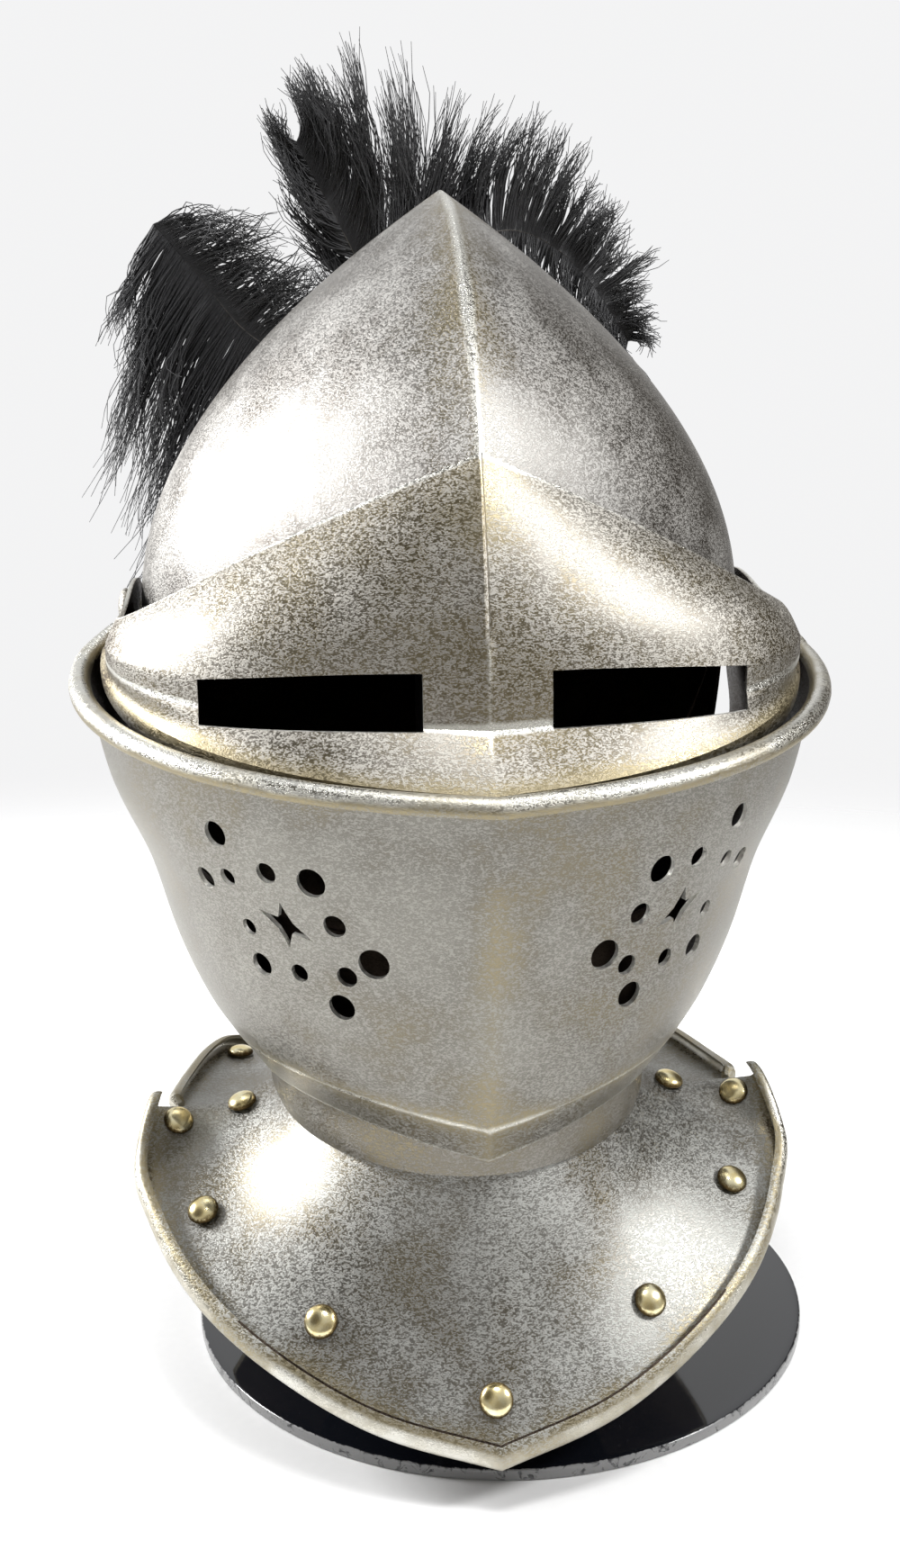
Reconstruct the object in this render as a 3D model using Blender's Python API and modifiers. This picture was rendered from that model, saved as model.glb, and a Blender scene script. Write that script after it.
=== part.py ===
"""Close helmet with a plume, on its plain display stand.

Metres, +Z up. The helmet looks along -Y and its middle plane is X = 0.
The origin lies on the underside of the stand's disc, straight below the helmet.
"""
import math

import bmesh
import bpy
from mathutils import Matrix, Vector
from mathutils.bvhtree import BVHTree

# Plate and clearances
SHEET = 0.0014            # thickness of every steel plate
RUN_GAP = 0.0009          # play between plates that slide past each other
SEAT_GAP = 0.0003         # gap between two pieces that touch
CURL = 0.0022             # radius of the rolled edges, to the middle of the plate

# Pivot at the temples
PIVOT_Y = 0.035
PIVOT_Z = 0.255
PIVOT_HEAD = 0.0075       # radius of the pivot rivet's head
PIVOT_RISE = 0.0035
PIVOT_PIN = 0.0028        # radius of the pivot pin
ARM_RADIUS = 0.011        # rounded end of each arm around the pin
ARM_RIM = 0.0010          # steps of the arm's edge where the roll runs out

# Skull
SKULL_REACH = 0.1395      # pivot to the keel, over the brow and the crown
SKULL_HALF = 0.1065       # half width at the temples
BROW_ANGLE = 6.0          # front edge of the skull, degrees above the pivot

# Neck ring
NECK_HALF = 0.0655
NECK_FRONT = -0.0885
NECK_BACK = 0.098
NECK_Z = 0.0895
NECK_PINCH = 0.076        # how far the neck draws in above its edge, as a share
PINCH_TOP = 0.118
COLLAR_GAP = 0.0014       # play between the neck's edge and the gorget inside it
COLLAR_RISE = 0.009       # how far the gorget stands up inside the neck

# Visor
VISOR_HALF = 0.1125       # widest, in front of the temples
PEAK_ANGLE = 20.4         # top edge at the ridge, degrees above the pivot
FOLD_REACH = 0.1497       # pivot to the crease under the sights
FOLD_ANGLE = -9.6
SHELF_REACH = 0.1652      # pivot to the lowest ridge of the shelf
SHELF_ANGLE = -14.2
TONGUE_ANGLE = -17.5      # lower edge, tucked inside the ventail
SIGHT_INNER = 0.0178      # sight slot, from the middle plane
SIGHT_OUTER = 0.0800
SIGHT_HEIGHT = 0.0160
SIGHT_TAPER = 0.0030      # how much lower the slots are at their outer ends
SIGHT_Z = 0.2297          # lower edge of the slots

# Ventail
RIM_REACH = 0.129         # front of the rim, ahead of the middle of its plan
RIM_Z = 0.2120            # front of the rim
RIM_SLOPE = 0.20          # rise of the rim toward the back
RIM_HALF = 0.1215
CHIN_REACH = 0.105        # crease above the chin band
CHIN_Z = 0.1105
BAND_REACH = 0.0995       # lower edge of the chin band
BAND_Z = 0.0992
BAND_HALF = 0.0690
BAND_LIFT = 0.0080        # how far the band rises between the chin and the side
RIDGE = 0.0055            # how far the middle ridge stands proud
RIDGE_WIDTH = 0.030

# Breath holes
STAR_WAIST = 0.0025       # from the star's middle to each notch between its points
HOLE_SIDES = 10

# Bevor
BEVOR_TOP_Z = 0.166       # front of its upper edge
BEVOR_SIDE_Z = 0.172
BEVOR_REACH = 0.098       # front of its upper edge

# Gorget
GORGET_HALF = 0.1085
TIP_REACH = 0.122
TIP_Z = 0.0159
TAIL_REACH = 0.128        # lower edge of the rear plate, behind the origin
TAIL_Z = 0.034
SHOULDER_Z = 0.0865
REAR_DROP = 0.0042        # how far the rear plate lies below the front one
FLARE = 0.005             # hollow of the gorget between the neck and its edge

# Brass rivets
RIVET_HEAD = 0.0052
RIVET_RISE = 0.0030

# Plume
HOLDER_RADIUS = 0.0080
HOLDER_LENGTH = 0.046
HOLDER_WALL = 0.0010
HOLDER_ANGLE = 158.0      # where it sits on the keel, degrees from the front
QUILL_ROOT = 0.0011       # half width of a quill in the holder
QUILL_THICK = 0.0020

# Stand
DISC_RADIUS = 0.1100
DISC_THICK = 0.0040
DISC_SHIFT = 0.0150       # disc centre beside the middle plane
DISC_CHAMFER = 0.0008
POST_RADIUS = 0.010
POST_Y = 0.030
PAD_DROP = 0.050          # centre of the pad below the crown
PAD_NECK = 0.018          # radius of the pad's flat underside


def collection(name):
    made = bpy.data.collections.new(name)
    bpy.context.scene.collection.children.link(made)
    return made


def clear_scene():
    for item in list(bpy.data.objects):
        bpy.data.objects.remove(item)
    for old in list(bpy.data.collections):
        bpy.data.collections.remove(old)


def material(name, colour, roughness, metallic):
    made = bpy.data.materials.new(name)
    made.use_nodes = True
    shader = made.node_tree.nodes["Principled BSDF"]
    shader.inputs["Base Color"].default_value = (*colour, 1.0)
    shader.inputs["Roughness"].default_value = roughness
    shader.inputs["Metallic"].default_value = metallic
    return made


def lerp(a, b, share):
    return a + (b - a) * share


def ease(share):
    share = min(max(share, 0.0), 1.0)
    return share * share * (3.0 - 2.0 * share)


def read_line(rows, key):
    """Straight value between the rows of a short (key, value) table."""
    if key <= rows[0][0]:
        return rows[0][1]
    for (k0, v0), (k1, v1) in zip(rows, rows[1:]):
        if key <= k1:
            return lerp(v0, v1, (key - k0) / (k1 - k0))
    return rows[-1][1]


def read_table(rows, key):
    """Smooth value between the rows, with no overshoot at their peaks."""
    if key <= rows[0][0]:
        return rows[0][1]
    if key >= rows[-1][0]:
        return rows[-1][1]
    steps = [(b[1] - a[1]) / (b[0] - a[0]) for a, b in zip(rows, rows[1:])]
    tilts = [steps[0]]
    for left, right in zip(steps, steps[1:]):
        tilts.append(2.0 * left * right / (left + right) if left * right > 0 else 0.0)
    tilts.append(steps[-1])
    for i in range(len(rows) - 1):
        if key <= rows[i + 1][0]:
            span = rows[i + 1][0] - rows[i][0]
            t = (key - rows[i][0]) / span
            near = (1 + 2 * t) * (1 - t) ** 2 * rows[i][1] + t * t * (3 - 2 * t) * rows[i + 1][1]
            return near + span * t * (1 - t) * ((1 - t) * tilts[i] - t * tilts[i + 1])


def mesh_object(name, points, faces, look, home):
    mesh = bpy.data.meshes.new(name)
    mesh.from_pydata(points, [], faces)
    mesh.update()
    made = bpy.data.objects.new(name, mesh)
    home.objects.link(made)
    if look:
        mesh.materials.append(look)
    return made


def grid(name, rows, look, home):
    """A sheet through rows of points; its faces look to the outer side."""
    count = len(rows[0])
    points = [p for row in rows for p in row]
    faces = []
    for i in range(len(rows) - 1):
        for j in range(count - 1):
            a = i * count + j
            faces.append((a, a + count, a + count + 1, a + 1))
    return mesh_object(name, points, faces, look, home)


def merge_close(made):
    work = bmesh.new()
    work.from_mesh(made.data)
    bmesh.ops.remove_doubles(work, verts=work.verts, dist=0.00002)
    work.to_mesh(made.data)
    work.free()


def mirror(made):
    change = made.modifiers.new("Mirror", "MIRROR")
    change.use_axis[0] = True
    change.merge_threshold = 0.00005
    change.use_clip = True


def plate(made, thickness=SHEET):
    change = made.modifiers.new("Plate", "SOLIDIFY")
    change.thickness = thickness
    change.offset = -1.0
    change.use_even_offset = True


def cut(made, cutter):
    change = made.modifiers.new("Cut", "BOOLEAN")
    change.operation = "DIFFERENCE"
    change.object = cutter
    change.solver = "EXACT"


def shade(made, degrees=35.0):
    made.data.shade_smooth()
    made.data.set_sharp_from_angle(angle=math.radians(degrees))


def hide_cutter(made):
    made.hide_render = True
    made.display_type = "WIRE"


# Shapes of the plates

def neck_point(phi, inset=0.0):
    """Neck ring at an angle from the front; inset shrinks it."""
    middle = (NECK_FRONT + NECK_BACK) / 2
    half_long = (NECK_BACK - NECK_FRONT) / 2
    return Vector(((NECK_HALF - inset) * math.sin(phi), middle - (half_long - inset) * math.cos(phi), NECK_Z))


def neck_half_at(y):
    middle = (NECK_FRONT + NECK_BACK) / 2
    half_long = (NECK_BACK - NECK_FRONT) / 2
    share = min(abs(y - middle) / half_long, 1.0)
    return NECK_HALF * math.sqrt(1.0 - share * share)


# angle from the front in degrees, keel distance as a share of SKULL_REACH
KEEL = (
    (0.0, 1.0), (100.0, 1.0), (125.0, 0.985), (150.0, 0.950), (180.0, 0.905), (205.0, 0.905), (225.0, 0.960),
)


def nape_angle():
    drop = PIVOT_Z - NECK_Z
    return 180.0 + math.degrees(math.atan2(drop, NECK_BACK - PIVOT_Y))


def keel_reach(angle):
    """Distance from the pivot to the keel of the skull."""
    nape = nape_angle()
    ring = math.hypot(PIVOT_Z - NECK_Z, NECK_BACK - PIVOT_Y) / SKULL_REACH
    if angle <= nape:
        return SKULL_REACH * read_table(KEEL + ((nape, ring),), angle)
    drop = (PIVOT_Z - NECK_Z) / math.sin(math.radians(angle - 180.0))
    y = PIVOT_Y + drop * math.cos(math.radians(angle - 180.0))
    return drop / math.sqrt(1.0 - neck_half_at(y) / SKULL_HALF)


def neck_share(z):
    """1 over the bowl; a little less where the neck draws in above its edge."""
    t = (z - NECK_Z) / (PINCH_TOP - NECK_Z)
    return 1.0 - NECK_PINCH * math.sin(math.pi * t) ** 2 if 0.0 < t < 1.0 else 1.0


def skull_point(angle, r):
    """Point of the skull in the half plane at an angle round the pivot, a distance r from its axis."""
    turn = math.radians(angle)
    z = PIVOT_Z + r * math.sin(turn)
    x = SKULL_HALF * (1.0 - (r / keel_reach(angle)) ** 2) * neck_share(z)
    return Vector((max(x, 0.0), PIVOT_Y - r * math.cos(turn), z))


def skull_half_at(z):
    """Half width of the skull on the vertical line through the pivot, below it."""
    return SKULL_HALF * (1.0 - ((PIVOT_Z - z) / keel_reach(270.0)) ** 2) * neck_share(z)


def build_skull(look, home):
    turns = 20
    angles = [lerp(BROW_ANGLE, nape_angle(), i / turns) for i in range(turns + 1)]
    middle = (NECK_FRONT + NECK_BACK) / 2
    last = math.acos((PIVOT_Y - middle) / (NECK_BACK - middle))
    for i in range(1, 8):
        y = middle + (NECK_BACK - middle) * math.cos(last * i / 7)
        angles.append(180.0 + math.degrees(math.atan2(PIVOT_Z - NECK_Z, y - PIVOT_Y)))
    steps = 9
    rows = []
    for angle in angles:
        far = keel_reach(angle)
        if angle > nape_angle():
            far = (PIVOT_Z - NECK_Z) / math.sin(math.radians(angle - 180.0))
        rows.append([skull_point(angle, far * (1.0 - j / steps) ** 0.8) for j in range(steps + 1)])
    skull = grid("skull", [row[::-1] for row in rows], look, home)
    merge_close(skull)
    mirror(skull)
    plate(skull)
    shade(skull)
    return skull


def bevor_point(z, share):
    """share 0 is the ridge, 1 the straight edge beside the skull's."""
    middle = (NECK_FRONT + NECK_BACK) / 2
    rise = (z - NECK_Z) / (BEVOR_TOP_Z - NECK_Z)
    back = PIVOT_Y - SEAT_GAP * 2
    centre = lerp(middle, back, ease(rise))
    half_long = centre + lerp(-NECK_FRONT, BEVOR_REACH, rise)
    last = math.acos((centre - back) / half_long)
    half = skull_half_at(z) / math.sin(last)
    phi = last * share
    proud = RIDGE * 0.5 * ease(rise * 2.0) * math.exp(-half * math.sin(phi) / RIDGE_WIDTH) * math.cos(phi)
    return Vector((half * math.sin(phi), centre - half_long * math.cos(phi) - proud, z))


def build_bevor(look, home):
    """Chin plate, flush with the skull's edge below the pivot and open above."""
    heights = (1.0, 0.72, 0.46, 0.25, 0.12, 0.0)
    turns = 10
    rows = []
    for high in heights:
        row = []
        for j in range(turns + 1):
            top = lerp(BEVOR_TOP_Z, BEVOR_SIDE_Z, ease(j / turns))
            spot = bevor_point(lerp(NECK_Z, top, high), j / turns)
            if j == turns:
                spot.y = PIVOT_Y - SEAT_GAP * 2
            row.append(spot)
        rows.append(row)
    bevor = grid("bevor", rows, look, home)
    mirror(bevor)
    plate(bevor)
    shade(bevor)
    return bevor


# share of the visor's half width, angle of its top edge as a share of PEAK_ANGLE
VISOR_TOP = ((0.0, 1.0), (0.23, 0.96), (0.45, 0.90), (0.65, 0.775), (0.81, 0.58), (0.90, 0.36), (1.0, 0.06))
# degrees about the pivot, how far the section has opened from the skull's to the full one
VISOR_FULL = ((-6.0, 1.0), (0.0, 0.86), (6.0, 0.62), (14.0, 0.27), (20.4, 0.0))


def visor_reach(angle):
    top = SKULL_REACH + RUN_GAP + SHEET
    if angle < FOLD_ANGLE:
        shelf = ((TONGUE_ANGLE, SHELF_REACH - 0.0005), (SHELF_ANGLE, SHELF_REACH), (FOLD_ANGLE, FOLD_REACH))
        return read_line(shelf, angle)
    return read_table(((FOLD_ANGLE, FOLD_REACH), (2.0, lerp(top, FOLD_REACH, 0.70)), (PEAK_ANGLE, top)), angle)


def visor_point(angle, share):
    """share 0 is the ridge, 1 the widest place in front of the temple."""
    clear = RUN_GAP + SHEET
    reach = visor_reach(angle)
    near = lerp(0.058, 0.040, ease((FOLD_ANGLE - angle) / 4.0))
    phi = share * math.pi / 2
    wide = lerp(VISOR_HALF, VISOR_HALF + 0.004, ease((FOLD_ANGLE - angle) / 6.0))
    x_full = wide * math.sin(phi)
    ridge = RIDGE * math.exp(-x_full / RIDGE_WIDTH)
    r_full = near + (reach - near - RIDGE) * math.cos(phi) + ridge * math.cos(phi) ** 0.5
    r_hug = r_full * (SKULL_REACH + clear) / reach
    x_hug = (SKULL_HALF + clear) * (1.0 - (r_hug / (SKULL_REACH + clear)) ** 2)
    full = read_table(VISOR_FULL, angle)
    x = lerp(max(x_hug, 0.0), x_full, full)
    r = lerp(r_hug, r_full, full)
    if share == 0:
        x, r = 0.0, reach
    turn = math.radians(angle)
    return Vector((x, PIVOT_Y - r * math.cos(turn), PIVOT_Z + r * math.sin(turn)))


def arm_points(start, wall_x, radius, steps):
    """Columns of an arm that runs back from the last column and ends round about the pivot pin."""
    top, low = start[0], start[-1]
    columns = []
    for k in range(1, steps + 1):
        share = k / steps
        half = radius * (0.55 if k == steps else 1.0)
        column = []
        for p in start:
            down = (top.z - p.z) / (top.z - low.z)
            y = lerp(p.y, PIVOT_Y + radius, share)
            high = lerp(top.z, PIVOT_Z + half, ease(share * 1.3))
            deep = lerp(low.z, PIVOT_Z - half, ease(share * 1.6))
            column.append(Vector((lerp(p.x, wall_x, ease(share * 1.8)), y, lerp(high, deep, down))))
        columns.append(column)
    return columns


def build_visor(look, home, cutters):
    shares = [0.0, 0.07, 0.16, 0.27, 0.39, 0.51, 0.63, 0.75, 0.87, 1.0]
    downs = [0.0, 0.2, 0.4, 0.6, 0.8, 1.0]
    columns = []
    for share in shares:
        top = PEAK_ANGLE * read_table(VISOR_TOP, math.sin(share * math.pi / 2))
        column = [visor_point(lerp(top, FOLD_ANGLE, v), share) for v in downs]
        column += [visor_point(lerp(FOLD_ANGLE, SHELF_ANGLE, v), share) for v in (0.5, 1.0)]
        column.append(visor_point(TONGUE_ANGLE, share))
        columns.append(column)
    columns += arm_points(columns[-1], SKULL_HALF + RUN_GAP + SHEET, ARM_RADIUS, 5)
    rows = [[column[i] for column in columns] for i in range(len(columns[0]))]
    visor = grid("visor", rows, look, home)
    mirror(visor)
    plate(visor)
    slots = sight_cutter(cutters)
    cut(visor, slots)
    cut(visor, pin_cutter("visor_pin_holes", PIVOT_PIN + RUN_GAP, cutters))
    shade(visor)
    return visor


def sight_cutter(cutters):
    """Two straight bars that open the sights, a little lower at their outer ends."""
    work = bmesh.new()
    outline = (
        (SIGHT_INNER, SIGHT_Z), (SIGHT_OUTER, SIGHT_Z),
        (SIGHT_OUTER, SIGHT_Z + SIGHT_HEIGHT - SIGHT_TAPER), (SIGHT_INNER, SIGHT_Z + SIGHT_HEIGHT))
    for side in (-1, 1):
        ends = []
        for y in (-0.16, -0.05):
            ends.append([work.verts.new((side * x, y, z)) for x, z in outline])
        work.faces.new(ends[0])
        work.faces.new(ends[1][::-1])
        for k in range(4):
            n = (k + 1) % 4
            work.faces.new((ends[0][k], ends[1][k], ends[1][n], ends[0][n]))
    bmesh.ops.recalc_face_normals(work, faces=work.faces)
    mesh = bpy.data.meshes.new("sight_slots")
    work.to_mesh(mesh)
    work.free()
    made = bpy.data.objects.new("sight_slots", mesh)
    cutters.objects.link(made)
    hide_cutter(made)
    return made


def pin_cutter(name, radius, cutters):
    work = bmesh.new()
    for side in (-1, 1):
        place = Matrix.Translation((side * (SKULL_HALF + 0.002), PIVOT_Y, PIVOT_Z))
        turn = Matrix.Rotation(math.pi / 2, 4, "Y")
        bmesh.ops.create_cone(
            work, cap_ends=True, segments=16, radius1=radius, radius2=radius, depth=0.03, matrix=place @ turn)
    mesh = bpy.data.meshes.new(name)
    work.to_mesh(mesh)
    work.free()
    made = bpy.data.objects.new(name, mesh)
    cutters.objects.link(made)
    hide_cutter(made)
    return made


# the crease above the chin band, as a share of the way from the band (0) to the rim (1)
CREASE_LEVEL = (CHIN_Z - BAND_Z) / (RIM_Z - BAND_Z)
# height as a share from the band (0) to the rim (1), half width as a share of RIM_HALF
VENTAIL_SIDES = ((CREASE_LEVEL, 0.648), (0.20, 0.715), (0.37, 0.792), (0.58, 0.857), (0.80, 0.955), (1.0, 1.0))
# height share, front reach as a share from CHIN_REACH (0) to RIM_REACH (1)
VENTAIL_FRONT = ((CREASE_LEVEL, 0.0), (0.30, 0.26), (1.0, 1.0))
VENTAIL_LEVELS = (1.0, 0.84, 0.68, 0.52, 0.38, 0.26, 0.16, CREASE_LEVEL, 0.0)


def ventail_point(level, share):
    """level 1 is the rim, 0 the band's edge; share 0 is the ridge, 1 the side."""
    phi = share * math.pi / 2
    half = RIM_HALF * read_table(VENTAIL_SIDES, level)
    reach = lerp(CHIN_REACH, RIM_REACH, read_table(VENTAIL_FRONT, level))
    if level < CREASE_LEVEL:
        half = lerp(BAND_HALF, half, level / CREASE_LEVEL)
        reach = lerp(BAND_REACH, reach, level / CREASE_LEVEL)
    x = half * math.sin(phi)
    ridge = RIDGE * math.exp(-x / RIDGE_WIDTH)
    y = -(reach - RIDGE) * math.cos(phi) - ridge * math.cos(phi) ** 0.5
    rim_z = RIM_Z + RIM_SLOPE * (y + RIM_REACH)
    low_z = BAND_Z + BAND_LIFT * math.sin(math.pi * share)
    return Vector((x, y, lerp(low_z, rim_z, level)))


def build_ventail(look, home, cutters):
    turns = 11
    columns = []
    for j in range(turns + 1):
        columns.append([ventail_point(level, j / turns) for level in VENTAIL_LEVELS])
    side = columns[-1]
    wall_x = SKULL_HALF + 2 * (RUN_GAP + SHEET)
    steps = 5
    for k in range(1, steps + 1):
        share = k / steps
        end = PIVOT_Z + ARM_RADIUS * (0.55 if k == steps else 1.0) - 3 * ARM_RIM
        column = []
        for level, start in zip(VENTAIL_LEVELS, side):
            y = lerp(start.y, lerp(0.012, PIVOT_Y + ARM_RADIUS, ease(level)), share)
            z = start.z + (end - side[0].z) * share * level ** 2
            near = ease((z - 0.19) / (PIVOT_Z - 0.19) * 1.6) * ease(share * 1.5)
            column.append(Vector((lerp(start.x, wall_x, near), y, z)))
        columns.append(column)
    rolled = []
    for k, column in enumerate(columns):
        out = Vector((column[0].x, min(column[0].y, 0.0), 0.0)).normalized()
        centre = column[0] + out * CURL
        flat = ease((k - turns) / steps * 1.6)
        curl = []
        for turn, rise in ((215.0, 3), (140.0, 2), (65.0, 1)):
            a = math.radians(turn)
            spot = centre - out * CURL * math.cos(a) + Vector((0, 0, CURL * math.sin(a)))
            curl.append(spot.lerp(column[0] + Vector((0, 0, rise * ARM_RIM)), flat))
        rolled.append(curl + column)
    rows = [[column[i] for column in rolled] for i in range(len(rolled[0]))]
    ventail = grid("ventail", rows, look, home)
    mirror(ventail)
    plate(ventail)
    cut(ventail, breath_cutter(cutters))
    cut(ventail, pin_cutter("ventail_pin_holes", PIVOT_PIN + RUN_GAP, cutters))
    shade(ventail)
    return ventail


# breath holes: share round the side, level, radius
BREATH_HOLES = (
    (0.455, 0.818, 0.0041), (0.530, 0.663, 0.0037), (0.464, 0.693, 0.0029), (0.370, 0.742, 0.0033),
    (0.289, 0.742, 0.0045), (0.459, 0.553, 0.0027), (0.268, 0.626, 0.0035), (0.453, 0.447, 0.0038),
    (0.363, 0.457, 0.0029), (0.263, 0.482, 0.0032), (0.208, 0.536, 0.0047), (0.285, 0.385, 0.0042),
)
# the star's points, share round the side and level, in turn round it
STAR_TIPS = ((0.364, 0.661), (0.418, 0.622), (0.372, 0.526), (0.318, 0.566))


def surface_frame(share, level):
    """Place and outward direction on the ventail."""
    here = ventail_point(level, share)
    round_it = ventail_point(level, share + 0.02) - ventail_point(level, share - 0.02)
    up = ventail_point(min(level + 0.02, 1.0), share) - ventail_point(level - 0.02, share)
    return here, round_it.cross(up).normalized() * -1.0, up.normalized()


def star_ring():
    """Outline of the star on the right side, its points and the notches between them."""
    tips = [ventail_point(level, share) for share, level in STAR_TIPS]
    middle = sum(tips, Vector((0.0, 0.0, 0.0))) / 4
    ring = []
    for tip, following in zip(tips, tips[1:] + tips[:1]):
        notch = (tip + following) / 2 - middle
        ring += [tip, middle + notch.normalized() * STAR_WAIST]
    return ring


def breath_cutter(cutters):
    """Round holes and a four-pointed star through each side of the ventail."""
    work = bmesh.new()
    for share, level, radius in BREATH_HOLES:
        for side in (-1, 1):
            here, out, up = surface_frame(share, level)
            spot = Vector((side * here.x, here.y, here.z))
            aim = Vector((side * out.x, out.y, out.z))
            turn = aim.to_track_quat("Z", "Y").to_matrix().to_4x4()
            bmesh.ops.create_cone(
                work, cap_ends=True, segments=HOLE_SIDES, radius1=radius, radius2=radius, depth=0.02,
                matrix=Matrix.Translation(spot) @ turn)
    ring = star_ring()
    along = (ring[2] - ring[0]).cross(ring[4] - ring[0]).normalized() * 0.01
    for side in (-1, 1):
        low = [work.verts.new((side * p.x, p.y, p.z)) for p in (q - along for q in ring)]
        high = [work.verts.new((side * p.x, p.y, p.z)) for p in (q + along for q in ring)]
        work.faces.new(low[::-1])
        work.faces.new(high)
        for k in range(8):
            n = (k + 1) % 8
            work.faces.new([low[k], low[n], high[n], high[k]])
    bmesh.ops.recalc_face_normals(work, faces=work.faces)
    mesh = bpy.data.meshes.new("breath_holes")
    work.to_mesh(mesh)
    work.free()
    made = bpy.data.objects.new("breath_holes", mesh)
    cutters.objects.link(made)
    hide_cutter(made)
    return made


# Gorget. Angle from the front as a share of half a turn; then the edge's
# half width as a share of GORGET_HALF, its reach (front -1, back 1) and its height share
GORGET_EDGE = (
    (0.00, 0.00, -1.00, 0.00),
    (0.10, 0.30, -0.93, 0.10),
    (0.20, 0.58, -0.80, 0.26),
    (0.30, 0.81, -0.62, 0.45),
    (0.38, 0.94, -0.43, 0.63),
    (0.44, 1.00, -0.28, 0.79),
    (0.50, 0.965, -0.12, 1.00),
    (0.60, 0.93, 0.18, 0.93),
    (0.72, 0.83, 0.54, 0.86),
    (0.86, 0.46, 0.88, 0.36),
    (1.00, 0.00, 1.00, 0.00),
)


def edge_point(share):
    """Lower edge of the gorget; share 0 is the front tip, 1 the tail."""
    for a, b in zip(GORGET_EDGE, GORGET_EDGE[1:]):
        if share <= b[0] + 1e-9:
            t = (share - a[0]) / (b[0] - a[0])
            half, reach, high = (lerp(a[i], b[i], t) for i in (1, 2, 3))
            y = reach * (TIP_REACH if reach < 0 else TAIL_REACH)
            low = TIP_Z if share < 0.5 else TAIL_Z
            return Vector((half * GORGET_HALF, y, lerp(low, SHOULDER_Z, high)))
    return Vector((0.0, TAIL_REACH, TAIL_Z))


def gorget_point(share, down):
    """down 0 is the neck ring, 1 the lower edge."""
    phi = share * math.pi
    top = neck_point(phi, inset=SHEET + COLLAR_GAP)
    low = edge_point(share)
    spot = top.lerp(low, down)
    away = Vector((low.x - top.x, low.y - top.y, 0.0))
    if away.length > 1e-6:
        away.normalize()
    slope = (top.z - low.z) / max((top - low).length, 1e-6)
    hollow = FLARE * math.sin(math.pi * down)
    return spot - away * hollow * slope - Vector((0, 0, hollow * (1.0 - slope)))


def gorget_rows(first, last, turns, sink, tuck):
    """Rows from the collar inside the neck down to the rolled edge; tuck ends the roll under the other plate."""
    columns = []
    for j in range(turns + 1):
        share = lerp(first, last, j / turns)
        under = ease((tuck - share) / 0.02)
        collar = neck_point(share * math.pi, inset=SHEET + COLLAR_GAP)
        column = [collar + Vector((0, 0, COLLAR_RISE))]
        column += [gorget_point(share, down) for down in (0.0, 0.22, 0.48, 0.76, lerp(1.0, 0.86, under))]
        end = column[-1]
        out = (end - column[-2]).normalized()
        for k, a in enumerate((60.0, 130.0, 200.0)):
            t = math.radians(a)
            roll = end + out * CURL * math.sin(t) + Vector((0, 0, CURL * (1.0 - math.cos(t))))
            column.append(roll.lerp(end + out * 0.0012 * (k + 1), under))
        away = Vector((math.sin(share * math.pi), -math.cos(share * math.pi), 0.0))
        columns.append([p - Vector((0, 0, sink)) - away * sink for p in column])
    return [[column[i] for column in columns] for i in range(len(columns[0]))]


def build_gorget(look, home):
    front = grid("gorget_front", gorget_rows(0.0, 0.5, 12, 0.0, 0.0), look, home)
    rear = grid("gorget_rear", gorget_rows(5 / 12, 1.0, 14, REAR_DROP, 0.53), look, home)
    for made in (front, rear):
        mirror(made)
        plate(made)
        shade(made)
    return front, rear


def surface_tree(made):
    """Search tree of an object's finished surface."""
    graph = bpy.context.evaluated_depsgraph_get()
    work = bmesh.new()
    work.from_mesh(made.evaluated_get(graph).to_mesh())
    tree = BVHTree.FromBMesh(work)
    work.free()
    return tree


def seat(head, tree, place, radius):
    """Stands a head on the surface near a place, just clear of it all round."""
    here, out, index, far = tree.find_nearest(place)
    if out.z < 0.0:
        here, out, index, distance = tree.ray_cast(place + Vector((0.0, 0.0, 0.006)), Vector((0.0, 0.0, -1.0)), 0.02)
    turn = out.to_track_quat("Z", "Y")
    lift = 0.0
    for k in range(24):
        a = math.tau * k / 24
        start = here + turn @ Vector((radius * math.cos(a), radius * math.sin(a), 0.004))
        hit = tree.ray_cast(start, -out, 0.008)
        if hit[0]:
            lift = max(lift, 0.004 - hit[3])
    head.location = here + out * (lift + SEAT_GAP * 2)
    head.rotation_mode = "QUATERNION"
    head.rotation_quaternion = turn


# name, share round the gorget, place from neck to edge, on both sides
RIVETS = (
    ("tip", 0.0, 0.81, False), ("lower", 0.185, 0.76, True), ("upper", 0.365, 0.77, True),
    ("shoulder_inner", 0.475, 0.33, True), ("shoulder_outer", 0.482, 0.84, True),
)
REAR_RIVETS = (("tail", 1.0, 0.78, False), ("nape_lower", 0.85, 0.76, True), ("nape_upper", 0.70, 0.74, True))


def dome(name, radius, rise, look, home, segments=10):
    """A domed rivet head: an arc turned about Z, closed by a flat underside."""
    steps = 3
    points = [(radius * math.sin(a), 0.0, rise * math.cos(a)) for a in
              (math.pi / 2 * i / steps for i in range(steps + 1))]
    points.append((0.0, 0.0, 0.0))
    mesh = bpy.data.meshes.new(name)
    mesh.from_pydata(points, [(i, i + 1) for i in range(len(points) - 1)], [])
    made = bpy.data.objects.new(name, mesh)
    home.objects.link(made)
    change = made.modifiers.new("Turn", "SCREW")
    change.axis = "Z"
    change.steps = segments
    change.render_steps = segments
    change.use_merge_vertices = True
    change.merge_threshold = 0.00002
    change.use_normal_calculate = False
    mesh.materials.append(look)
    return made


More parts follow.
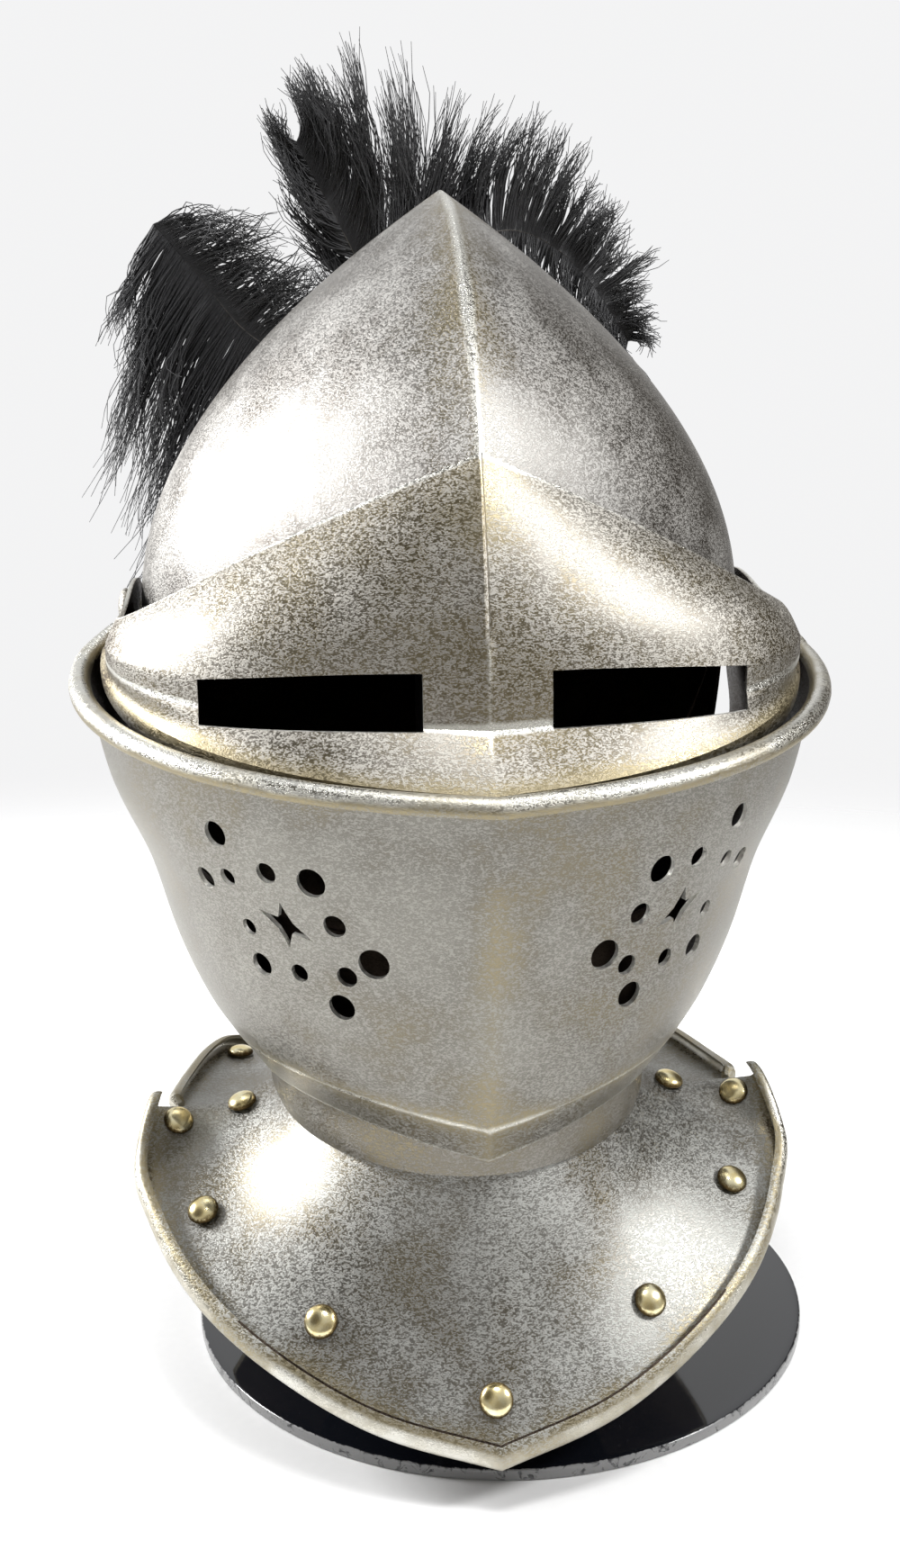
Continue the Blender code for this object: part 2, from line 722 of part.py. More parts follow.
def build_rivets(look, front, rear):
    home = front.users_collection[0]
    for rows, made in ((RIVETS, front), (REAR_RIVETS, rear)):
        tree = surface_tree(made)
        for word, share, down, paired in rows:
            for side, tag in ((-1, "_left"), (1, "_right")) if paired else ((1, ""),):
                head = dome(f"rivet_{word}{tag}", RIVET_HEAD, RIVET_RISE, look, home)
                spot = gorget_point(share, down)
                seat(head, tree, Vector((side * spot.x, spot.y, spot.z)), RIVET_HEAD)


def build_pivots(look, ventail):
    home = ventail.users_collection[0]
    tree = surface_tree(ventail)
    for side, tag in ((-1, "left"), (1, "right")):
        head = dome(f"pivot_{tag}", PIVOT_HEAD, PIVOT_RISE, look, home, segments=16)
        reach = 0.0
        for radius in (PIVOT_PIN + RUN_GAP * 1.2, PIVOT_HEAD):
            for k in range(16):
                a = math.tau * k / 16
                start = Vector((side * 0.14, PIVOT_Y + radius * math.cos(a), PIVOT_Z + radius * math.sin(a)))
                hit = tree.ray_cast(start, Vector((-side, 0.0, 0.0)), 0.05)
                if hit[0]:
                    reach = max(reach, abs(hit[0].x))
        head.location = (side * (reach + SEAT_GAP), PIVOT_Y, PIVOT_Z)
        head.rotation_euler = (0.0, side * math.pi / 2, 0.0)


# Stand

def pad_radius():
    """Largest ball about the pad's centre that stays clear of the skull's inside."""
    centre = SKULL_REACH - PAD_DROP
    best = PAD_DROP
    for i in range(201):
        r = SKULL_REACH * i / 200
        x = SKULL_HALF * (1.0 - (r / SKULL_REACH) ** 2)
        best = min(best, math.hypot(x, r - centre))
    return best - SHEET - SEAT_GAP * 1.5


def turned(name, points, look, home, steps=32):
    mesh = bpy.data.meshes.new(name)
    mesh.from_pydata([(r, 0.0, z) for r, z in points], [(i, i + 1) for i in range(len(points) - 1)], [])
    made = bpy.data.objects.new(name, mesh)
    home.objects.link(made)
    change = made.modifiers.new("Turn", "SCREW")
    change.axis = "Z"
    change.steps = steps
    change.render_steps = steps
    change.use_merge_vertices = True
    change.merge_threshold = 0.00002
    change.use_normal_calculate = False
    mesh.materials.append(look)
    shade(made)
    return made


def build_stand(disc_look, post_look, pad_look, home):
    edge = DISC_RADIUS - DISC_CHAMFER
    disc = turned("stand_disc", [
        (0.0, DISC_THICK), (edge, DISC_THICK), (DISC_RADIUS, DISC_THICK - DISC_CHAMFER),
        (DISC_RADIUS, DISC_CHAMFER), (edge, 0.0), (0.0, 0.0)], disc_look, home, steps=40)
    disc.location = (DISC_SHIFT, 0.0, 0.0)
    radius = pad_radius()
    centre = PIVOT_Z + SKULL_REACH - PAD_DROP
    low = math.asin(PAD_NECK / radius)
    steps = 6
    ball = [(radius * math.sin(a), radius * math.cos(a)) for a in
            (lerp(0.0, math.pi - low, i / steps) for i in range(steps + 1))]
    ball.append((0.0, ball[-1][1]))
    pad = turned("stand_pad", ball, pad_look, home, steps=18)
    pad.location = (0.0, PIVOT_Y, centre)
    under = centre + ball[-1][1] - SEAT_GAP
    post = turned("stand_post", [
        (0.0, under), (POST_RADIUS, under), (POST_RADIUS, DISC_THICK + SEAT_GAP), (0.0, DISC_THICK + SEAT_GAP)],
        post_look, home, steps=16)
    post.location = (0.0, POST_Y, 0.0)


# Plume

def keel_place(angle, out):
    turn = math.radians(angle)
    reach = keel_reach(angle) + out
    return Vector((0.0, PIVOT_Y - reach * math.cos(turn), PIVOT_Z + reach * math.sin(turn)))


def holder_line(far):
    """Point on the holder's axis, a distance up from the bottom of its bore."""
    out = HOLDER_RADIUS + SEAT_GAP / 3
    base = keel_place(HOLDER_ANGLE, out)
    along = (keel_place(HOLDER_ANGLE - 4.0, out) - base).normalized()
    return base + along * far


def build_holder(look, home):
    """Small brass socket behind the keel, open upward; it carries the quills."""
    along = (holder_line(0.01) - holder_line(0.0)).normalized()
    inner = HOLDER_RADIUS - HOLDER_WALL
    half = HOLDER_LENGTH / 2
    holder = turned("plume_holder", [
        (0.0, 0.0), (inner, 0.0), (inner, half), (HOLDER_RADIUS, half), (HOLDER_RADIUS, -half), (0.0, -half)],
        look, home, steps=12)
    holder.location = holder_line(0.0)
    holder.rotation_mode = "QUATERNION"
    holder.rotation_quaternion = along.to_track_quat("Z", "Y")


def smooth_path(keys, count):
    """Catmull-Rom points through the keys."""
    ends = [keys[0] * 2 - keys[1]] + keys + [keys[-1] * 2 - keys[-2]]
    path = []
    spans = len(keys) - 1
    for i in range(count + 1):
        u = spans * i / count
        k = min(int(u), spans - 1)
        t = u - k
        p0, p1, p2, p3 = ends[k:k + 4]
        path.append(0.5 * ((2 * p1) + (p2 - p0) * t + (2 * p0 - 5 * p1 + 4 * p2 - p3) * t * t
                           + (3 * p1 - p0 - 3 * p2 + p3) * t * t * t))
    return path


def read_offset(rows, share):
    """Offset (x, z) of a lock's tip from the quill, between the rows of a short table."""
    return Vector((read_line([(r[0], r[1]) for r in rows], share), 0.0, read_line([(r[0], r[2]) for r in rows], share)))


def feather(name, keys, locks, segments, look, home):
    """A quill with a tapering lock on each side of every segment, fused into one strip."""
    foot = [holder_line(far) + Vector((keys[0][0], 0.0, 0.0)) for far in (SEAT_GAP, 0.010, 0.020)]
    path = smooth_path(foot + [Vector(k) for k in keys], segments)
    facing = Vector((0.0, -1.0, 0.0))
    work = bmesh.new()
    spine = []
    for i, p in enumerate(path):
        along = (path[min(i + 1, segments)] - path[max(i - 1, 0)]).normalized()
        across = along.cross(facing).normalized()
        half = lerp(QUILL_ROOT, QUILL_ROOT * 1.4, ease(i / segments * 3.0 - 0.8))
        spine.append((work.verts.new(p - across * half), work.verts.new(p + across * half), across))
    for i in range(segments):
        a, b = spine[i], spine[i + 1]
        work.faces.new((a[0], a[1], b[1], b[0]))
        share = (i + 0.5) / segments
        for side, rows in enumerate(locks):
            reach = read_offset(rows, share)
            if reach.length < 0.006:
                continue
            last = (a[0], b[0]) if side == 0 else (b[1], a[1])
            middle = (last[0].co + last[1].co) / 2
            spread = (last[1].co - last[0].co) / 2
            bow = a[2] * (side * 2 - 1) * reach.length * 0.18
            for k in (1, 2, 3):
                t = k / 3
                spot = middle + bow * 2 * t * (1 - t) + reach * (t * t * 0.5 + t * 0.5)
                thin = spread * 0.85 * (1.0 - 0.85 * t)
                pair = (work.verts.new(spot - thin), work.verts.new(spot + thin))
                work.faces.new((last[0], last[1], pair[1], pair[0]))
                last = pair
    bmesh.ops.recalc_face_normals(work, faces=work.faces)
    mesh = bpy.data.meshes.new(name)
    work.to_mesh(mesh)
    work.free()
    made = bpy.data.objects.new(name, mesh)
    home.objects.link(made)
    mesh.materials.append(look)
    plate(made, QUILL_THICK)
    made.modifiers["Plate"].offset = 0.0
    made.modifiers["Plate"].use_even_offset = False
    return made


# Feathers: points of the quill above its holder, the first beside the axis.
# Then, for the locks on its two sides, the share along the quill and the
# offset of their tips, sideways and upward
FALL_QUILL = (
    (-0.0038, 0.1550, 0.3345), (-0.012, 0.1602, 0.343), (-0.030, 0.167, 0.350),
    (-0.052, 0.170, 0.354), (-0.072, 0.171, 0.366), (-0.090, 0.171, 0.388), (-0.108, 0.171, 0.409),
)
FALL_LOCKS = (
    ((0.0, 0.0, 0.0), (0.42, 0.0, 0.0), (0.52, -0.044, -0.084), (0.62, -0.056, -0.098),
     (0.75, -0.058, -0.104), (0.9, -0.036, -0.085), (1.0, -0.020, -0.040)),
    ((0.0, 0.0, 0.0), (0.42, 0.0, 0.0), (0.50, 0.014, 0.034), (0.60, 0.030, 0.038),
     (0.75, 0.042, 0.026), (0.9, 0.044, 0.012), (1.0, 0.036, 0.006)),
)
CREST_QUILL = (
    (0.0, 0.1550, 0.3345), (-0.002, 0.1566, 0.345), (-0.008, 0.1595, 0.362),
    (-0.018, 0.161, 0.385), (-0.028, 0.160, 0.405), (-0.038, 0.160, 0.424), (-0.046, 0.160, 0.440),
)
CREST_LOCKS = (
    ((0.0, 0.0, 0.0), (0.42, 0.0, 0.0), (0.50, -0.032, 0.026), (0.65, -0.034, 0.030),
     (0.82, -0.026, 0.026), (1.0, -0.014, 0.018)),
    ((0.0, 0.0, 0.0), (0.36, 0.0, 0.0), (0.44, 0.020, 0.086), (0.60, 0.006, 0.094),
     (0.80, -0.002, 0.070), (1.0, -0.004, 0.036)),
)
SWEEP_QUILL = (
    (0.0038, 0.1550, 0.3345), (0.008, 0.1508, 0.346), (0.013, 0.1480, 0.370),
    (0.023, 0.149, 0.392), (0.039, 0.150, 0.403), (0.058, 0.151, 0.399), (0.077, 0.151, 0.383),
    (0.094, 0.151, 0.358),
)
SWEEP_LOCKS = (
    ((0.0, 0.0, 0.0), (0.35, 0.0, 0.0), (0.42, -0.014, 0.066), (0.48, -0.006, 0.080),
     (0.56, 0.006, 0.068), (0.68, 0.014, 0.054), (0.80, 0.020, 0.038), (0.92, 0.022, 0.018),
     (1.0, 0.018, -0.008)),
    ((0.0, 0.0, 0.0), (0.40, 0.0, 0.0), (0.50, 0.014, -0.020), (0.62, 0.006, -0.026),
     (0.80, -0.004, -0.028), (1.0, 0.004, -0.024)),
)


def build_plume(look, home):
    feather("plume_fall", FALL_QUILL, FALL_LOCKS, 20, look, home)
    feather("plume_crest", CREST_QUILL, CREST_LOCKS, 18, look, home)
    feather("plume_sweep", SWEEP_QUILL, SWEEP_LOCKS, 20, look, home)


def build():
    clear_scene()
    home = collection("close_helmet")
    cutters = collection("cutters")
    steel = material("steel", (0.50, 0.48, 0.45), 0.32, 1.0)
    brass = material("brass", (0.78, 0.62, 0.28), 0.28, 1.0)
    lacquer = material("black_lacquer", (0.008, 0.009, 0.011), 0.08, 0.0)
    black_paint = material("black_paint", (0.012, 0.012, 0.013), 0.45, 0.0)
    felt = material("felt", (0.02, 0.02, 0.02), 0.9, 0.0)
    feathers = material("feather", (0.010, 0.010, 0.012), 0.55, 0.0)
    build_skull(steel, home)
    build_bevor(steel, home)
    build_visor(steel, home, cutters)
    ventail = build_ventail(steel, home, cutters)
    front, rear = build_gorget(steel, home)
    build_rivets(brass, front, rear)
    build_pivots(steel, ventail)
    build_stand(lacquer, black_paint, felt, home)
    build_holder(brass, home)
    build_plume(feathers, home)


build()
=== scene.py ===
# %% [markdown]
# # Close helmet on its stand
# A close helmet covers the whole head: a keeled skull, a visor with two sights, a pierced
# ventail below it, a bevor behind that, and two neck plates. This lesson dresses the packed
# model: each steel plate is made again, finer, from the same measures, and then gets its
# aged finish. The feathers and the brass rivets, which repeat, are made by Geometry Nodes.

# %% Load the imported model
import math

import bmesh
import bpy
from mathutils import Matrix, Vector
from mathutils.kdtree import KDTree


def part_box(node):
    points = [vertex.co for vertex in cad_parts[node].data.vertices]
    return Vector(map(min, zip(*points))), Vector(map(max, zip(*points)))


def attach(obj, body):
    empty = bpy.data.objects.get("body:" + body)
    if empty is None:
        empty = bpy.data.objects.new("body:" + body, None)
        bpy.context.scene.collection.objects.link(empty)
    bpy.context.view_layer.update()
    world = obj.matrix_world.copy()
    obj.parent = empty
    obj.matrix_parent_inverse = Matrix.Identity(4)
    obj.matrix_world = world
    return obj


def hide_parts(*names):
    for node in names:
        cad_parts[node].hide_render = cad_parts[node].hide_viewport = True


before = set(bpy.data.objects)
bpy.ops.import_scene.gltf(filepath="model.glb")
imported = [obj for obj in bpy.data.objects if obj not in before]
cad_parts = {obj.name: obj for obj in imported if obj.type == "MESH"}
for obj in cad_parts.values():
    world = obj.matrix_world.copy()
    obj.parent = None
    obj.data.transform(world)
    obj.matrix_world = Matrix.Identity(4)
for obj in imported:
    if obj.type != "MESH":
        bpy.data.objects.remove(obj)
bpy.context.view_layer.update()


def in_scene(name, data):
    """A new object in the scene, at the origin."""
    made = bpy.data.objects.new(name, data)
    bpy.context.scene.collection.objects.link(made)
    return made


def mesh_from(name, work):
    """What was modelled so far, as a mesh."""
    mesh = bpy.data.meshes.new(name)
    work.to_mesh(mesh)
    work.free()
    return mesh


# %% [markdown]
# ## The camera
# The helmet was seen from slightly above and a little to its right, quite close, so the
# brow looms and the base falls away. A lens of 34 mm on the frame's long side gives that.

# %% Camera
CAMERA_PLACE = (-0.0484, -0.5071, 0.2923)
# millimetres, then pixels of the photo's long side
SENSOR, FOCAL_PIXELS, PHOTO_HEIGHT = 36.0, 1650.0, 1742.0
yaw, pitch, roll = (math.radians(a) for a in (5.4, 10.912, -0.843))
ahead = Vector((math.sin(yaw) * math.cos(pitch), math.cos(yaw) * math.cos(pitch), -math.sin(pitch)))
level = Vector((math.cos(yaw), -math.sin(yaw), 0.0))
upward = level.cross(ahead)
right = level * math.cos(roll) + upward * math.sin(roll)
top = upward * math.cos(roll) - level * math.sin(roll)
camera = in_scene("camera", bpy.data.cameras.new("camera"))
turn = Matrix((right, top, -ahead)).transposed()
camera.matrix_world = Matrix.Translation(CAMERA_PLACE) @ turn.to_4x4()
camera.data.sensor_fit = "AUTO"
camera.data.sensor_width = SENSOR
camera.data.lens = SENSOR * FOCAL_PIXELS / PHOTO_HEIGHT
camera.data.clip_start = 0.01
bpy.context.scene.camera = camera
print("lens, mm:", round(camera.data.lens, 1))

# %% [markdown]
# ## Small helpers
# Every plate is a sheet of points, row by row. These few helpers read a smooth value
# between the rows of a table, and turn rows of points into a mesh with both its halves.

# %% Reading values


def lerp(a, b, share):
    return a + (b - a) * share


def ease(share):
    share = min(max(share, 0.0), 1.0)
    return share * share * (3.0 - 2.0 * share)


def read_line(rows, key):
    if key <= rows[0][0]:
        return rows[0][1]
    for (k0, v0), (k1, v1) in zip(rows, rows[1:]):
        if key <= k1:
            return lerp(v0, v1, (key - k0) / (k1 - k0))
    return rows[-1][1]


def read_table(rows, key):
    """Smooth value between the rows, with no overshoot at their peaks."""
    if key <= rows[0][0]:
        return rows[0][1]
    if key >= rows[-1][0]:
        return rows[-1][1]
    steps = [(b[1] - a[1]) / (b[0] - a[0]) for a, b in zip(rows, rows[1:])]
    tilts = [steps[0]]
    for left, right_step in zip(steps, steps[1:]):
        tilts.append(2.0 * left * right_step / (left + right_step) if left * right_step > 0 else 0.0)
    tilts.append(steps[-1])
    for i in range(len(rows) - 1):
        if key <= rows[i + 1][0]:
            span = rows[i + 1][0] - rows[i][0]
            t = (key - rows[i][0]) / span
            near = (1 + 2 * t) * (1 - t) ** 2 * rows[i][1] + t * t * (3 - 2 * t) * rows[i + 1][1]
            return near + span * t * (1 - t) * ((1 - t) * tilts[i] - t * tilts[i + 1])


print("halfway of a smooth step:", ease(0.5))

# %% Sheets of points


def sheet_mesh(name, rows, mirrored=True):
    """A sheet through rows of points, with its mirrored half welded on."""
    work = bmesh.new()
    for side in (1, -1) if mirrored else (1,):
        made = [[work.verts.new((side * p.x, p.y, p.z)) for p in row] for row in rows]
        for upper, lower in zip(made, made[1:]):
            for j in range(len(upper) - 1):
                ring = (upper[j], lower[j], lower[j + 1], upper[j + 1])
                work.faces.new(ring if side == 1 else ring[::-1])
    bmesh.ops.remove_doubles(work, verts=work.verts, dist=0.00002)
    bmesh.ops.dissolve_degenerate(work, edges=work.edges, dist=0.00001)
    return in_scene(name, mesh_from(name, work))


def thicken(made, thickness, outside, inside, rim=0):
    """Gives the sheet its thickness inward; the inner face gets its own finish."""
    made.data.materials.append(outside)
    made.data.materials.append(inside)
    change = made.modifiers.new("Plate", "SOLIDIFY")
    change.thickness = thickness
    change.offset = -1.0
    change.use_even_offset = False
    change.material_offset = 1
    change.material_offset_rim = rim


def cut(made, cutter):
    change = made.modifiers.new("Cut", "BOOLEAN")
    change.operation = "DIFFERENCE"
    change.object = cutter
    change.solver = "EXACT"
    change.material_mode = "TRANSFER"


def freeze(made, *cutters):
    """Applies what the modifiers do, and removes the cutters."""
    graph = bpy.context.evaluated_depsgraph_get()
    mesh = bpy.data.meshes.new_from_object(made.evaluated_get(graph))
    made.modifiers.clear()
    made.data = mesh
    mesh.name = made.name
    for cutter in cutters:
        bpy.data.objects.remove(cutter)
    mesh.shade_smooth()
    mesh.set_sharp_from_angle(angle=math.radians(32.0))
    return made


print("sheets are welded within 0.02 mm")

# %% [markdown]
# ## Marks for the finish, painted highlight and painted shade
# Old steel isn't the same all over. Yellow patina gathers along the ridges and rolled
# edges, and the crests are rubbed bright; the rub also paints highlights on the keel, folds,
# creases and rolls. Painted shade darkens creases, the parts under rims and the parts
# behind or under other plates. A number at every point, here the distance to a line, tells
# the material where, and rides along with the mesh.

# %% Marks


def near_lines(lines):
    """Search tree of points every half millimetre along some lines."""
    spots = []
    for line in lines:
        for a, b in zip(line, line[1:]):
            count = max(1, int((b - a).length / 0.0005))
            spots += [a.lerp(b, k / count) for k in range(count)]
    tree = KDTree(len(spots))
    for k, spot in enumerate(spots):
        tree.insert(spot, k)
    tree.balance()
    return tree


def both_sides(line):
    return [[Vector((side * p.x, p.y, p.z)) for p in line] for side in (1, -1)]


def mark(made, name, value):
    """Stores value(place) at every point of the piece."""
    layer = made.data.attributes.new(name, "FLOAT", "POINT")
    layer.data.foreach_set("value", [value(v.co) for v in made.data.vertices])


def bright_inside(made, tree, reach):
    """Inner faces close to a rolled edge keep the outer finish, because the roll shows them."""
    count = 0
    for face in made.data.polygons:
        if face.material_index == 1 and tree.find(face.center)[2] < reach:
            face.material_index = 0
            count += 1
    print(made.name, "inner faces that show on its roll:", count)


def piece(made, body, slot, *nodes):
    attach(made, body)
    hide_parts(*nodes)
    print(made.name, "faces:", len(made.data.polygons))


# %% [markdown]
# ## Aged steel
# The plates are mild steel with a satin face, covered in short pale flecks about a
# millimetre long where it was blasted and rubbed. Noise stretched sideways gives the
# flecks. They are rougher than the ground, so they stay pale where the ground mirrors
# something dark. All of it comes from one node group that each plate fills in its own way.

# %% Node helpers


def wire(tree, item, sockets):
    """Sets each input, by name or number, to a value or links it to a socket."""
    for key, value in sockets.items():
        if isinstance(value, bpy.types.NodeSocket):
            tree.links.new(value, item.inputs[key])
        else:
            item.inputs[key].default_value = value
    return item


def node(tree, kind, settings, sockets):
    item = tree.nodes.new(kind)
    for key, value in settings.items():
        setattr(item, key, value)
    return wire(tree, item, sockets)


def calc(tree, operation, a, b=0.0, c=0.0):
    """One Math node's result."""
    return node(tree, "ShaderNodeMath", {"operation": operation}, {0: a, 1: b, 2: c}).outputs[0]


def ramp(tree, value, low, high, to_low=0.0, to_high=1.0):
    """Smooth step of a value between low and high."""
    item = node(tree, "ShaderNodeMapRange", {"interpolation_type": "SMOOTHSTEP"}, {
        "Value": value, "From Min": low, "From Max": high, "To Min": to_low, "To Max": to_high})
    return item.outputs["Result"]


def blend_colour(tree, share, a, b, mode="MIX"):
    item = node(tree, "ShaderNodeMix", {"data_type": "RGBA", "blend_type": mode}, {0: share, 6: a, 7: b})
    return item.outputs[2]


def noise(tree, vector, scale, detail=2.0, roughness=0.5, distortion=0.0):
    return node(tree, "ShaderNodeTexNoise", {}, {
        "Vector": vector, "Scale": scale, "Detail": detail, "Roughness": roughness,
        "Distortion": distortion}).outputs["Fac"]


def group(name, inputs, outputs):
    """An empty shader node group with named sockets."""
    tree = bpy.data.node_groups.new(name, "ShaderNodeTree")
    for label, kind, value in inputs:
        made = tree.interface.new_socket(name=label, in_out="INPUT", socket_type=kind)
        if value is not None:
            made.default_value = value
    for label, kind in outputs:
        tree.interface.new_socket(name=label, in_out="OUTPUT", socket_type=kind)
    return tree, tree.nodes.new("NodeGroupInput"), tree.nodes.new("NodeGroupOutput")


print("node helpers ready")

# %% Aged steel group
FLOAT, COLOUR, VECTOR = "NodeSocketFloat", "NodeSocketColor", "NodeSocketVector"
steel_group, given, result = group("aged_steel", [
    ("Place", VECTOR, None), ("Flecks", FLOAT, 0.6), ("Mottling", FLOAT, 0.4), ("Patina", FLOAT, 0.0),
    ("Rubbed", FLOAT, 0.0), ("Stain", FLOAT, 0.0), ("Unevenness", FLOAT, 1.0),
    ("Ground", COLOUR, (0.30, 0.285, 0.27, 1)), ("Pale", COLOUR, (0.78, 0.77, 0.74, 1)),
    ("Patina colour", COLOUR, (0.30, 0.255, 0.155, 1)), ("Stain colour", COLOUR, (0.055, 0.042, 0.032, 1)),
], [("Colour", COLOUR), ("Roughness", FLOAT), ("Height", FLOAT)])
t = steel_group
where = given.outputs["Place"]
FLECK_STRETCH, FINE_FLECKS, COARSE_FLECKS, FINE_SHARE = (0.75, 0.75, 1.5), 1800.0, 850.0, 0.62
stretch = node(t, "ShaderNodeVectorMath", {"operation": "MULTIPLY"}, {0: where, 1: FLECK_STRETCH})
flat_dots = stretch.outputs[0]
fine = noise(t, flat_dots, FINE_FLECKS, 2.0, 0.6, 0.4)
coarse = noise(t, flat_dots, COARSE_FLECKS, 2.0, 0.5, 0.6)
cloud = noise(t, where, 38.0, 4.0, 0.6)
broad = noise(t, where, 11.0, 2.0, 0.5)
both = calc(t, "ADD", calc(t, "MULTIPLY", fine, FINE_SHARE), calc(t, "MULTIPLY", coarse, 1.0 - FINE_SHARE))
spots = ramp(t, both, 0.455, 0.565)
tone = ramp(t, calc(t, "ADD", cloud, calc(t, "MULTIPLY", calc(t, "SUBTRACT", broad, 0.5), 0.6)), 0.30, 0.72)
fleck = calc(t, "MULTIPLY", spots, given.outputs["Flecks"])
cloudy = calc(t, "MULTIPLY", tone, given.outputs["Mottling"])
pale = calc(t, "ADD", fleck, cloudy)
pale.node.use_clamp = True
body_colour = blend_colour(t, pale, given.outputs["Ground"], given.outputs["Pale"])
ragged = calc(t, "ADD", calc(t, "MULTIPLY", tone, 0.55), calc(t, "MULTIPLY", spots, 0.45))
gold = ramp(t, calc(t, "SUBTRACT", calc(t, "MULTIPLY", given.outputs["Patina"], 1.7), ragged), -0.15, 0.75)
golden = blend_colour(t, calc(t, "MULTIPLY", gold, 0.85), body_colour, given.outputs["Patina colour"])
# Painted shade: a dark brown blended in where the painted shade mark is high.
shade_share = ramp(t, calc(t, "SUBTRACT", calc(t, "MULTIPLY", given.outputs["Stain"], 1.6), ragged), 0.0, 0.45)
shaded = blend_colour(t, shade_share, golden, given.outputs["Stain colour"])
# Rub and painted highlight: a pale, smoother steel on crests, folds, creases and rims.
rub_highlight_share = ramp(t, calc(t, "SUBTRACT", given.outputs["Rubbed"], calc(t, "MULTIPLY", tone, 0.30)), 0.15, 0.60)
final = blend_colour(t, rub_highlight_share, shaded, (0.66, 0.65, 0.60, 1))
rough = calc(t, "ADD", calc(t, "MULTIPLY", spots, 0.20), calc(t, "MULTIPLY", shade_share, 0.25))
rough = calc(t, "ADD", rough, calc(t, "MULTIPLY", tone, 0.10))
rough = calc(t, "ADD", rough, calc(t, "MULTIPLY", rub_highlight_share, -0.12))
waves = calc(t, "MULTIPLY", calc(t, "MULTIPLY", broad, 0.0022), given.outputs["Unevenness"])
relief = calc(t, "ADD", waves, calc(t, "MULTIPLY", spots, 0.000035))
relief = calc(t, "ADD", relief, calc(t, "MULTIPLY", cloud, 0.00010))
wire(t, result, {"Colour": final, "Roughness": calc(t, "ADD", rough, 0.30), "Height": relief})
print("aged steel nodes:", len(t.nodes))

# %% Steel materials


def shader_material(name):
    made = bpy.data.materials.new(name)
    made.use_nodes = True
    tree = made.node_tree
    return made, tree, tree.nodes["Principled BSDF"]


def attribute(tree, name):
    return node(tree, "ShaderNodeAttribute", {"attribute_name": name}, {}).outputs["Fac"]


def object_place(tree):
    return tree.nodes.new("ShaderNodeTexCoord").outputs["Object"]


def steel(name, flecks, mottling, ground, pale_tone, uneven=1.0, marked=True):
    made, tree, shader = shader_material(name)
    aged = tree.nodes.new("ShaderNodeGroup")
    aged.node_tree = steel_group
    wire(tree, aged, {
        "Place": object_place(tree), "Flecks": flecks, "Mottling": mottling, "Unevenness": uneven,
        "Ground": (*ground, 1), "Pale": (*pale_tone, 1)})
    # Marked plates: the rub mark also paints highlights, and the painted shade mark paints shade.
    if marked:
        wire(tree, aged, {
            "Patina": attribute(tree, "patina"), "Rubbed": attribute(tree, "rubbed"),
            "Stain": attribute(tree, "stain")})
    bump = node(tree, "ShaderNodeBump", {}, {
        "Strength": 1.0, "Distance": 1.0, "Height": aged.outputs["Height"]})
    wire(tree, shader, {
        "Base Color": aged.outputs["Colour"], "Roughness": aged.outputs["Roughness"],
        "Metallic": 1.0, "Normal": bump.outputs["Normal"]})
    return made


# flecks, mottling, ground colour, pale colour, unevenness
skull_steel = steel("skull_steel", 0.45, 0.45, (0.115, 0.103, 0.090), (0.47, 0.46, 0.44))
visor_steel = steel("visor_steel", 0.62, 0.35, (0.085, 0.072, 0.058), (0.52, 0.50, 0.455))
ventail_steel = steel("ventail_steel", 0.52, 0.32, (0.105, 0.096, 0.083), (0.44, 0.43, 0.39))
neck_steel = steel("neck_steel", 0.42, 0.42, (0.135, 0.123, 0.105), (0.52, 0.525, 0.50), 2.2)
inside_steel = steel("inside_steel", 0.35, 0.5, (0.018, 0.013, 0.010), (0.085, 0.066, 0.052), marked=False)
# Walls of the cut sights, breath holes and pin holes: partly bare metal, partly a painted highlight on the
# cut edges.
edge_steel = steel("edge_steel", 0.3, 0.5, (0.62, 0.60, 0.55), (0.90, 0.89, 0.84), 0.3, marked=False)
bevor_steel = steel("bevor_steel", 0.5, 0.4, (0.11, 0.10, 0.085), (0.38, 0.365, 0.33))
print("steel finishes:", skull_steel.name, visor_steel.name, ventail_steel.name, neck_steel.name)

# %% [markdown]
# ## The skull
# The skull is raised from two halves that meet in a sharp keel over the crown. Its section
# across the keel is a parabola about the temple pivots, so a polar grid around the pivot
# axis follows it exactly. The keel is rubbed bright and carries a painted highlight, with a
# little patina beside it; painted shade darkens the skull towards the nape.

# %% Measures of the helmet
SHEET, RUN_GAP, SEAT_GAP, CURL = 0.0014, 0.0009, 0.0003, 0.0022
PIVOT_Y, PIVOT_Z, PIVOT_PIN, ARM_RADIUS = 0.035, 0.255, 0.0028, 0.011
SKULL_REACH, SKULL_HALF, BROW_ANGLE = 0.1395, 0.1065, 6.0
NECK_HALF, NECK_FRONT, NECK_BACK, NECK_Z = 0.0655, -0.0885, 0.098, 0.0895
NECK_PINCH, PINCH_TOP = 0.076, 0.118
NECK_MIDDLE = (NECK_FRONT + NECK_BACK) / 2
# angle from the front in degrees, keel distance as a share of SKULL_REACH
KEEL = (
    (0.0, 1.0), (100.0, 1.0), (125.0, 0.985), (150.0, 0.950), (180.0, 0.905), (205.0, 0.905), (225.0, 0.960),
)
NAPE = 180.0 + math.degrees(math.atan2(PIVOT_Z - NECK_Z, NECK_BACK - PIVOT_Y))


